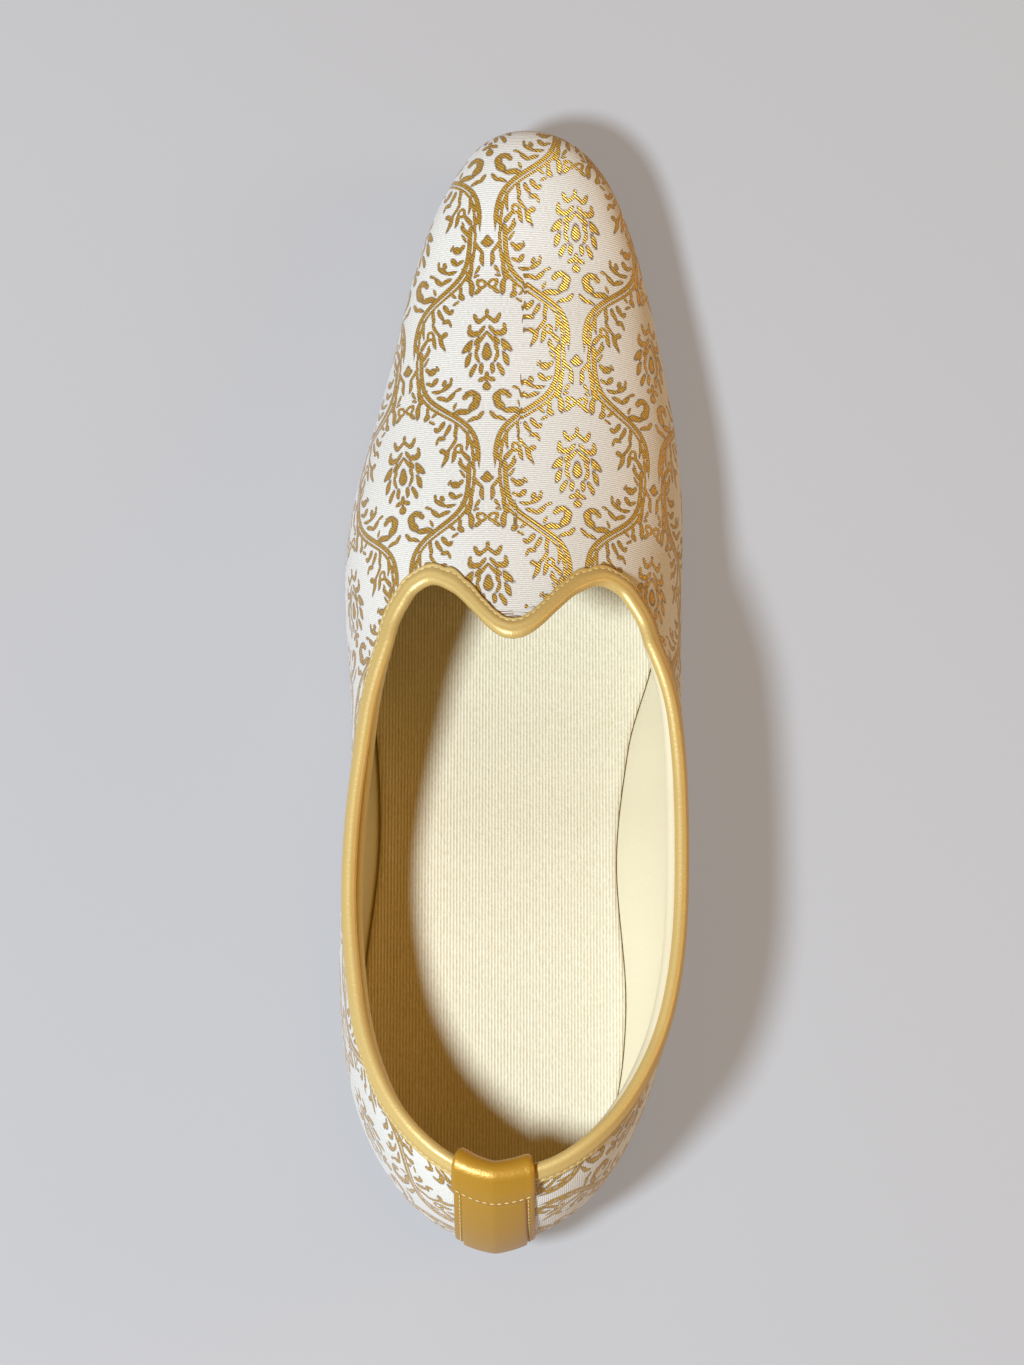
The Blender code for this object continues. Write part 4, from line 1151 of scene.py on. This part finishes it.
# Way of the flange's row from the panel, and how far a stitch stands off.
BESIDE_PANEL = 0.55 * MM
STAND = 0.1 * MM

count = WALL_ROWS - 2
rows = []
for edge in (-HALF_PANEL - BESIDE_PANEL, HALF_PANEL + BESIDE_PANEL):
    column = int(np.argmin(np.abs(across - edge)))
    line = layers[1][column, 2:count]
    up = np.cross(layers[1][column + 1, 2:count] - line, np.gradient(line, axis=0))
    up /= np.linalg.norm(up, axis=1)[:, None] * np.sign(-up[:, 1:2])
    rows.append(beads(line + up * STAND, line + up * MM, *FLANGE_STITCH))
hem = layers[1][2:-2, WALL_ROWS + 3]
out = np.array([0.0, -1.0, 0.15])
rows.append(beads(hem + out * STAND, hem + out * MM, *HEM_STITCH))
strip_stitches = join_beads("strip_stitches", rows)

# %% [markdown]
# ## Coated finishes
#
# Binding, strip and lining are cloth or leather under a coat of PU: the first two with a film of
# metal powder in it, the lining without. Pressed grain breaks the gloss up into a soft sheen, so
# it is a bump of small cells. The powder lies in a clear binder, so the finish is only partly
# metallic: a full metal would look like brass tube. Rubber gets the same grain, dark and without
# a coat, and thread a finer one.

# %% Coated finishes
def coated(name, colour, metallic, roughness, cells, depth, coat):
    """Voronoi cells, so many to the metre, raise a pebble of a depth; a clear coat lies on top."""
    material, tree, shader = new_material(name)
    place = add(tree, "TexCoord", out="Object")
    pebble = add(tree, "TexVoronoi", out="Distance", sockets={"Vector": place, "Scale": cells})
    bump = add(tree, "Bump", sockets={"Strength": 0.5, "Distance": depth, "Height": pebble})
    connect(tree, shader, {
        "Base Color": linear(colour), "Metallic": metallic, "Roughness": roughness,
        "Coat Weight": coat, "Coat Roughness": 0.25, "Normal": bump,
    })
    return material


# Pale gold with broad, soft lights along the roll.
gilt = coated("gilt coated leather", "#CFAE64", 0.28, 0.48, 1500.0, 0.08 * MM, 0.12)
# The strip's film is thicker: a deeper gold, and a little glossier.
gilt_strip = coated("gilt strip leather", "#B88724", 0.35, 0.42, 1500.0, 0.08 * MM, 0.15)
# Smooth cream, with a dull shine where the wall curves.
lining = coated("cream coated lining", "#D6C69C", 0.0, 0.45, 1200.0, 0.04 * MM, 0.12)
# Almost black brown, matt.
rubber = coated("dark moulded rubber", "#2B211A", 0.0, 0.6, 900.0, 0.1 * MM, 0.0)
# Twisted polyester, a shade paler than the leather, so that the rows show.
thread = coated("pale gilt thread", "#CDB472", 0.1, 0.5, 3000.0, 0.05 * MM, 0.0)
finish_of = [
    (binding, gilt), (facing, lining), (strip, gilt_strip), (sole, rubber), (heel, rubber),
    (binding_stitches, thread), (strip_stitches, thread),
]
for thing, material in finish_of:
    thing.data.materials.append(material)
print("coated finishes:", len(finish_of), "pieces")

# %% [markdown]
# ## Ribbed footbed cloth
#
# The footbed is faced with a ribbed cloth, ribs along the shoe. The ribs of such a cloth lie
# about 0.8 mm apart, and they are drawn at that: a sine of the place across. Fibres make them
# uneven, so a noise, drawn out along the ribs, is added to the height. The height also sets the
# colour: the hollows get painted shade, darker where the cloth lies low.

# %% Ribbed footbed cloth
RIB = 0.8 * MM
material, tree, shader = new_material("ribbed footbed cloth")
place = add(tree, "TexCoord", out="Object")
turns = add(tree, "Math", add(tree, "SeparateXYZ", place, out="X"), 2.0 * np.pi / RIB,
            operation="MULTIPLY")
fibre_place = add(tree, "Mapping", sockets={"Vector": place, "Scale": (1900.0, 800.0, 900.0)})
fibres = add(tree, "TexNoise", sockets={"Vector": fibre_place, "Scale": 1.0, "Detail": 1.0})
rib = add(tree, "Math", turns, operation="SINE")
height = add(tree, "Math", fibres, 2.2, rib, operation="MULTIPLY_ADD")
bump = add(tree, "Bump", sockets={"Strength": 0.7, "Distance": 0.08 * MM, "Height": height})
# Painted shade: the lower the cloth's height, the darker its colour.
shade = add(tree, "MapRange", sockets={"Value": height, "From Min": -0.5, "From Max": 2.6})
colour = add(tree, "Mix", data_type="RGBA", out="Result", sockets={
    "Factor": shade, "A": linear("#C8B487"), "B": linear("#E8DBB8"),
})
connect(tree, shader, {"Base Color": colour, "Roughness": 0.9, "Normal": bump})
footbed.data.materials.append(material)
print("ribs across the footbed:", round(BALL_WIDTH / RIB))

# %% [markdown]
# ## Brocade: the figure's chart
#
# Ivory satin with a figure of gilt weft. The figure repeats across 46 mm and along 68 mm, each
# half mirrored, and every second column is shifted by half a repeat. So one quarter of it is
# enough: the place in the cloth is folded into that quarter, and a small chart of leaves and
# rings is drawn there. A leaf is an ellipse. The nearest one to a place tells figure from ground.

# %% Chart of the figure, in millimetres of the chart
HALF = 22.1
DROP = 31.5
# How far the slow wave bends the leaves.
BEND = 0.14
# Leaves: across, along, half length, half width, turn in degrees. The first 19 are the medallion.
LEAVES = [
    (0, 0, 2.3, 1.15, 90), (1.1, 3.9, 1.9, 0.52, -58), (2.45, 1.1, 1.6, 0.52, -76),
    (2.4, -1.4, 1.6, 0.52, 77), (1.4, -4.3, 1.5, 0.62, 86), (0, -6.8, 1.5, 0.6, 90),
    (1.3, -7.2, 1.1, 0.6, -32), (0, -9.1, 1.2, 0.9, 90), (1.35, 5.9, 1.5, 0.5, -50),
    (2.9, 4.7, 1.3, 0.8, -12), (4.3, 5.3, 1.1, 0.75, 62), (4.3, 6.7, 0.9, 0.5, -75),
    (0, 10.2, 1.2, 0.5, 90), (0.9, 9.0, 1.1, 0.55, -48), (2.1, 8.2, 0.9, 0.75, 5),
    (3.05, 9.2, 1.0, 0.55, 72), (4.9, 1.6, 2.1, 0.8, -50), (4.7, -1.9, 2.0, 0.72, -68),
    (3.45, -4.9, 1.8, 0.68, -68),
    (6.3, -15.8, 2.54, 0.84, -5), (3.1, -14.3, 1.87, 1.04, -45),
    (2.5, -12.4, 1.65, 1.04, 80), (4, -10.9, 1.54, 0.84, 5), (5.5, -11.7, 0.86, 0.71, -50),
    (3, -17.9, 1.76, 0.58, -15), (1.5, -16.8, 1.2, 0.58, -62), (9.2, -11.4, 1.65, 0.65, -45),
    (11.4, -11.8, 1.76, 0.58, 25), (10.2, -8.7, 1.65, 0.71, -42), (12.5, -9.6, 1.65, 0.51, 5),
    (11, -7.6, 0.86, 0.58, -60), (13.5, -6.8, 1.31, 0.65, -50), (15.1, -7.4, 1.2, 0.51, 30),
    (14.2, -4.1, 1.25, 0.95, -35), (12.9, -3.2, 0.9, 0.35, 60), (15.7, -3.6, 1.09, 0.51, 50),
    (18.1, -8, 2.99, 0.51, 88), (17.5, -11.2, 1.2, 0.84, 65),
    (19.8, -3.8, 1.98, 0.58, -52), (20.8, -6.6, 1.87, 0.58, -82), (15.3, -14.6, 1.87, 0.45, -80),
    (15.6, -16.4, 0.98, 0.84, -80), (18.1, -14, 2.54, 0.71, -82), (19.9, -15.2, 1.2, 0.58, 50),
    (11.6, -19.4, 1.65, 0.65, -50), (13, -20, 0.86, 0.58, 50), (9.9, -20.5, 1.87, 0.58, -68),
    (11.4, -22.6, 1.09, 0.65, 10), (7.8, -21, 2.1, 0.51, 88), (8.5, -24.3, 2.1, 0.51, -58),
    (10.2, -27.8, 2.88, 0.58, -70), (10.9, -26.3, 1.09, 0.71, 35), (8.2, -27.5, 1.87, 0.58, -75),
    (5.3, -27.7, 1.87, 0.65, 55), (3, -28.8, 1.65, 0.58, 110), (4.8, -23.6, 2.54, 0.45, 93),
    (22.1, -2.2, 1.54, 1.1, 90), (22.1, -2.4, 1.54, 0.84, 0), (16.4, 0.6, 2.1, 0.65, -50),
    (17.8, 0.9, 1.31, 0.65, 80),
    (16.3, -9.6, 1.1, 0.42, -35), (19.6, -9.6, 1.3, 0.42, 62), (19.5, -11.2, 0.8, 0.4, 20),
    (13.4, -15.6, 1.3, 0.42, -48), (14.0, -17.9, 0.9, 0.45, 20), (12.6, -23.2, 1.0, 0.4, -62),
    (6.2, -18.4, 1.1, 0.42, 20), (4.4, -20.4, 1.4, 0.4, 75), (6.4, -29.6, 1.4, 0.42, 68),
    (3.3, -24.9, 1.2, 0.36, 70), (19.6, -28.6, 1.4, 0.42, 60), (17.9, -30.2, 1.3, 0.42, 72),
    (8.0, -14.1, 1.0, 0.42, -60), (7.2, -9.9, 1.1, 0.42, -20),
    (9.2, -6.9, 0.9, 0.4, -75), (16.0, -1.2, 1.2, 0.42, -55),
]
# Rings: across, along, half width, half height, half thickness.
RINGS = [(20.6, -13.2, 1.0, 1.0, 0.42), (7.0, -25.9, 0.9, 1.0, 0.38)]
# The soft edge of an entry, as a share of a leaf, and in millimetres.
SOFT_SHARE = 1.3
SOFT_LEAF = 0.2
SOFT_RING = 0.5


def with_glide(entries, reach, turned):
    """Each entry that reaches into the chart, and the half-drop image of one that crosses an end."""
    result = []
    for entry in entries:
        across, along, rest = entry[0], entry[1], entry[2:]
        if along - reach(entry) < 0.0:
            result.append(entry)
        if along + reach(entry) > 0.0:
            result.append((HALF - across, along - DROP, *turned(rest)))
        if along - reach(entry) < -DROP:
            result.append((HALF - across, along + DROP, *turned(rest)))
    return result


def leaf_reach(entry):
    """Half height of a turned ellipse: the root of (a sin)^2 + (b cos)^2, with its soft edge."""
    turn = np.radians(entry[4])
    return SOFT_SHARE * np.hypot(entry[2] * np.sin(turn), entry[3] * np.cos(turn)) + SOFT_LEAF


leaves = with_glide(LEAVES, leaf_reach, lambda rest: (rest[0], rest[1], 180 - rest[2]))
rings = with_glide(RINGS, lambda entry: entry[3] + SOFT_RING, lambda rest: rest)
print("chart:", len(leaves), "leaves and", len(rings), "rings")

# %% [markdown]
# ## Brocade: from the cloth to the chart
#
# A loom weaves a figure from a chart, thread by thread. The shader does the same by arithmetic.
# It steps the place from thread to thread, so that the figure's edges are jagged like woven ones,
# measures it from one medallion, and folds it into the chart: there and back across, and round
# and round along. In the other half of the repeat the chart is mirrored and shifted.

# %% Place in the chart
# Steps of the figure's edges, in millimetres of cloth. Real threads lie 0.1 to 0.2 mm apart, and
# these are coarser, because finer ones don't show.
STEP_ACROSS = 0.22
STEP_ALONG = 0.3
# Cloth millimetres to one of the chart, across and along.
STRETCH = (1.035, 1.085)
# Where the photograph shows a medallion: across the cloth, and in plan from the heel. The way
# over the ridge is longer than the plan; the cloth is 4.6 mm behind it there.
MEDALLION_ACROSS = -6.4
MEDALLION_Y = 230.4 * MM
MEDALLION_BACK = 4.6
# The wave's half turns across and along the chart. Whole ones fit its mirror lines.
TURNS_ACROSS = 11.0
TURNS_ALONG = 15.0

medallion_along = float(np.interp(MEDALLION_Y, DENSE_Y, ridge_arc) / MM) - MEDALLION_BACK
material, tree, shader = new_material("ivory and gilt brocade")
cloth = add(tree, "UVMap", uv_map="cloth")
u, v = add(tree, "SeparateXYZ", cloth, out=("X", "Y"))
stepped_u = add(tree, "Math", u, STEP_ACROSS, operation="SNAP")
stepped_v = add(tree, "Math", v, STEP_ALONG, operation="SNAP")
from_medallion = [
    add(tree, "Math", stepped, 1.0 / stretch, -start / stretch, operation="MULTIPLY_ADD")
    for stepped, stretch, start in
    zip((stepped_u, stepped_v), STRETCH, (MEDALLION_ACROSS, medallion_along))
]
folded = add(tree, "Math", from_medallion[0], HALF, operation="PINGPONG")
wrapped_v = add(tree, "Math", from_medallion[1], DROP, -DROP, operation="WRAP")
other_half = add(tree, "Math", wrapped_v, 0.0, operation="GREATER_THAN")
mirrored = add(tree, "Math", folded, -2.0, HALF, operation="MULTIPLY_ADD")
chart_u = add(tree, "Math", other_half, mirrored, folded, operation="MULTIPLY_ADD")
chart_v = add(tree, "Math", other_half, -DROP, wrapped_v, operation="MULTIPLY_ADD")
phase_u = add(tree, "Math", chart_v, TURNS_ALONG * np.pi / DROP, operation="MULTIPLY")
phase_v = add(tree, "Math", chart_u, TURNS_ACROSS * np.pi / HALF, operation="MULTIPLY")
wave_u = add(tree, "Math", phase_u, operation="SINE")
wave_v = add(tree, "Math", phase_v, operation="SINE")
bent_u = add(tree, "Math", wave_u, BEND, chart_u, operation="MULTIPLY_ADD")
bent_v = add(tree, "Math", wave_v, BEND, chart_v, operation="MULTIPLY_ADD")
print("medallion at", MEDALLION_ACROSS, "and", round(medallion_along, 1), "mm of the cloth")

# %% Leaves and rings
# Leaves worked through at a time, and a trace too small to move anything.
GROUP = 8
TRACE = 1e-5
# The distance to begin with, well outside every leaf.
FAR = 50.0


def chart_place(so_far):
    """The place in the chart. Its Z carries a trace of the answer so far.

    That makes the renderer work through the chart in order. Working on all leaves at once
    would overflow the room it has for a material's values.
    """
    trace = add(tree, "Math", so_far, TRACE, operation="MULTIPLY")
    return add(tree, "CombineXYZ", bent_u, bent_v, trace)


def radius_to(chart, across, along, a, b, degrees):
    """Length of the place in the ellipse's own axes: 1 on its edge, less inside."""
    local = add(tree, "Mapping", vector_type="TEXTURE", sockets={
        "Vector": chart, "Location": (across, along, 0.0), "Scale": (a, b, 1.0),
        "Rotation": (0.0, 0.0, np.radians(degrees)),
    })
    return add(tree, "VectorMath", local, operation="LENGTH", out="Value")


nearest = add(tree, "Math", bent_u, FAR, operation="ADD")
for start in range(0, len(leaves), GROUP):
    chart = chart_place(nearest)
    for entry in leaves[start:start + GROUP]:
        nearest = add(tree, "Math", nearest, radius_to(chart, *entry), operation="MINIMUM")
chart = chart_place(nearest)
for across, along, half_width, half_height, thick in rings:
    radius = radius_to(chart, across, along, half_width, half_height, 0.0)
    off = add(tree, "Math", radius, 1.0, operation="SUBTRACT")
    off = add(tree, "Math", off, operation="ABSOLUTE")
    off = add(tree, "Math", off, half_width / thick, operation="MULTIPLY")
    nearest = add(tree, "Math", nearest, off, operation="MINIMUM")
print("nodes so far:", len(tree.nodes))

# %% [markdown]
# ## Brocade: stems and yarn
#
# Between the medallions stems swing from one column to the next and back. A hyperbolic tangent
# has that shape: straight at both ends, and one smooth swing between. Each stem is a broad line
# with a fine one beside it. Then the nearest distance becomes two soft steps: one from satin to
# figure, and one from the figure's dark brown edge to its bright core. That edge is painted shade,
# for the shade where the raised weft dips to the satin.

# %% Stems
# Middle line, in millimetres of the chart: across = 9.8 + 7.9 tanh((along + 15.6) / 5.5).
STEM_MIDDLE = 9.8
STEM_SWING = 7.9
STEM_LEVEL = 15.6
STEM_RUN = 5.5
# Half widths of both lines, the way from one to the other, and where the first ends in a point.
BROAD = 0.6
FINE = 0.37
BESIDE = 1.35
POINT = 4.0

swing = add(tree, "Math", chart_v, 1.0 / STEM_RUN, STEM_LEVEL / STEM_RUN, operation="MULTIPLY_ADD")
swing = add(tree, "Math", swing, operation="TANH")
line = add(tree, "Math", swing, STEM_SWING, STEM_MIDDLE, operation="MULTIPLY_ADD")
# The line's slope is its derivative; the distance to it is the way across over the root of
# 1 + slope squared.
steep = STEM_SWING / STEM_RUN
squared = add(tree, "Math", swing, swing, operation="MULTIPLY")
slope = add(tree, "Math", squared, -steep, steep, operation="MULTIPLY_ADD")
slope_length = add(tree, "Math", slope, slope, 1.0, operation="MULTIPLY_ADD")
slope_length = add(tree, "Math", slope_length, operation="SQRT")
aside = add(tree, "Math", chart_u, line, operation="SUBTRACT")
aside = add(tree, "Math", aside, slope_length, operation="DIVIDE")
past = add(tree, "Math", POINT - DROP, chart_v, operation="SUBTRACT")
past = add(tree, "Math", past, 0.0, operation="MAXIMUM")
past = add(tree, "Math", past, 1.0 / POINT, operation="MULTIPLY")
broad = add(tree, "Math", aside, operation="ABSOLUTE")
broad = add(tree, "Math", broad, 1.0 / BROAD, past, operation="MULTIPLY_ADD")
fine = add(tree, "Math", aside, BESIDE, operation="SUBTRACT")
fine = add(tree, "Math", fine, operation="ABSOLUTE")
fine = add(tree, "Math", fine, 1.0 / FINE, operation="MULTIPLY")
nearest = add(tree, "Math", nearest, broad, operation="MINIMUM")
nearest = add(tree, "Math", nearest, fine, operation="MINIMUM")
print("stem swings", 2.0 * STEM_SWING, "mm to the side")

# %% Yarn and ground
# Radii between which satin turns to figure, and the figure's edge of painted shade to its core.
figure = add(tree, "MapRange", interpolation_type="SMOOTHSTEP", sockets={
    "Value": nearest, "From Min": 1.25, "From Max": 0.85,
})
core = add(tree, "MapRange", interpolation_type="SMOOTHSTEP", sockets={
    "Value": nearest, "From Min": 1.0, "From Max": 0.6,
})
# Single threads catch the light differently: a fine noise, stretched along the weft.
glint_place = add(tree, "Mapping", sockets={"Vector": cloth, "Scale": (1.3, 3.2, 1.0)})
glint = add(tree, "TexNoise", sockets={"Vector": glint_place, "Scale": 1.0, "Detail": 2.0})
glint = add(tree, "MapRange", sockets={"Value": glint, "From Min": 0.34, "From Max": 0.66})
# Gilt yarn is a flat film round a core: bright gold where it faces the light, ochre beside it.
yarn = add(tree, "Mix", data_type="RGBA", out="Result", sockets={
    "Factor": glint, "A": linear("#B0780A"), "B": linear("#E0B63E"),
})
# Satin: pale and warm, with a slight play of light from thread to thread.
ground = add(tree, "Mix", data_type="RGBA", out="Result", sockets={
    "Factor": glint, "A": linear("#D0C8B2"), "B": linear("#E4DCC8"),
})
# Painted shade: a dark brown rim at the figure's edge, bright yarn in its core.
gold = add(tree, "Mix", data_type="RGBA", out="Result", sockets={
    "Factor": core, "A": linear("#5E3806"), "B": yarn,
})
colour = add(tree, "Mix", data_type="RGBA", out="Result", sockets={
    "Factor": figure, "A": ground, "B": gold,
})
print("yarn in linear light:", [round(part, 2) for part in linear("#E0B63E")[:3]])


# %% Weave, and the wall's two finishes
def weave(across, along, depth):
    """Thread relief: a sine over the cloth, so many turns to the millimetre both ways."""
    turns = add(tree, "Math", u, 2.0 * np.pi * across, operation="MULTIPLY")
    turns = add(tree, "Math", v, 2.0 * np.pi * along, turns, operation="MULTIPLY_ADD")
    height = add(tree, "Math", turns, operation="SINE")
    return add(tree, "Bump", sockets={"Strength": 1.0, "Distance": depth, "Height": height})


# Satin threads run across and lie low; the gilt weft is a raised twill. Real threads lie 0.2 mm
# apart; these are drawn at 0.6 mm, the finest that a picture shows.
normal = add(tree, "Mix", data_type="VECTOR", out="Result", sockets={
    "Factor": figure, "A": weave(0.1, 1.65, 0.03 * MM), "B": weave(1.0, 1.2, 0.09 * MM),
})
metal = add(tree, "Math", core, 0.55, operation="MULTIPLY")
# A satin's soft gloss, a faint sheen at grazing angles, and a half metallic film on the yarn.
connect(tree, shader, {
    "Base Color": colour, "Normal": normal, "Roughness": 0.42, "Sheen Weight": 0.2,
    "Metallic": metal,
})
upper.data.materials.append(material)
upper.data.materials.append(lining)
row = np.tile(np.arange(shell.shape[1]), COLUMNS)
inside = (row >= OUTER_ROWS - 1) & (row < shell.shape[1] - 1)
upper.data.polygons.foreach_set("material_index", inside.astype(np.int32))
print("brocade:", int((~inside).sum()), "faces, lining:", int(inside.sum()), "faces")

# %% [markdown]
# ## Floor, light and camera
#
# The photograph has one cool soft light from the left, on the heel's side, and strongly warm
# shades. So a disk lamp is the key, a weak warm one fills from the right, and the sky is a deep
# amber that shows only where the key doesn't reach. The floor is plain and pale. The camera looks
# down from above the shoe, a little from behind it.

# %% Floor
mesh = bpy.data.meshes.new("floor")
# Far enough for the floor to fill a low view too.
REACH = 12.0
corners = [(-REACH, -REACH, 0.0), (REACH, -REACH, 0.0), (REACH, REACH, 0.0), (-REACH, REACH, 0.0)]
mesh.from_pydata(corners, [], [(0, 1, 2, 3)])
floor = bpy.data.objects.new("floor", mesh)
bpy.context.scene.collection.objects.link(floor)
material, tree, shader = new_material("pale floor")
# Matt and pale. A faint glow of its own keeps the shadow on it light.
connect(tree, shader, {
    "Base Color": linear("#88837B"), "Roughness": 0.9, "Emission Color": linear("#C9C9CA"),
    "Emission Strength": 0.42,
})
mesh.materials.append(material)
print("floor:", 2.0 * REACH, "m wide")

# %% Lights and camera
def aimed(thing, place, target):
    """An object set at a place and turned so that its -Z looks at the target."""
    bpy.context.scene.collection.objects.link(thing)
    thing.location = place
    thing.rotation_euler = (Vector(target) - Vector(place)).to_track_quat("-Z", "Y").to_euler()
    return thing


def softbox(name, place, target, size, power, colour):
    """A disk that shines evenly: the larger, the softer its shadows."""
    light = bpy.data.lights.new(name, "AREA")
    light.shape = "DISK"
    light.size = size
    light.energy = power
    light.color = colour
    return aimed(bpy.data.objects.new(name, light), place, target)


softbox("key", (-0.82, -0.66, 1.62), (0, 0, 0), 0.30, 56.0, (0.79, 0.97, 1.27))
softbox("fill", (1.25, 0.1, 0.5), (0, 0, 0.02), 0.7, 4.5, (1.0, 0.62, 0.18))
world = bpy.data.worlds.new("world")
world.use_nodes = True
bpy.context.scene.world = world
world.node_tree.nodes["Background"].inputs["Color"].default_value = (1.0, 0.48, 0.05, 1.0)
world.node_tree.nodes["Background"].inputs["Strength"].default_value = 0.24

# The plain sRGB curve keeps the warm shades and the near white of the satin as they are.
bpy.context.scene.view_settings.view_transform = "Standard"

lens = bpy.data.cameras.new("camera")
lens.lens = 177.0
lens.sensor_fit = "VERTICAL"
lens.sensor_height = 36.0
look = np.array([0.008, -0.245, 0.969])
look /= np.linalg.norm(look)
target = np.array([0.0, 0.0, 0.02])
camera = bpy.data.objects.new("camera", lens)
bpy.context.scene.collection.objects.link(camera)
right = np.cross(-look, [0.0, 1.0, 0.0])
right /= np.linalg.norm(right)
turned = np.eye(4)
turned[:3, :3] = np.column_stack([right, np.cross(look, right), look])
turned[:3, 3] = target + look * 1.7
camera.matrix_world = Matrix(turned.tolist())
bpy.context.scene.camera = camera
print("camera", round(float(np.linalg.norm(camera.matrix_world.translation)), 2), "m away")
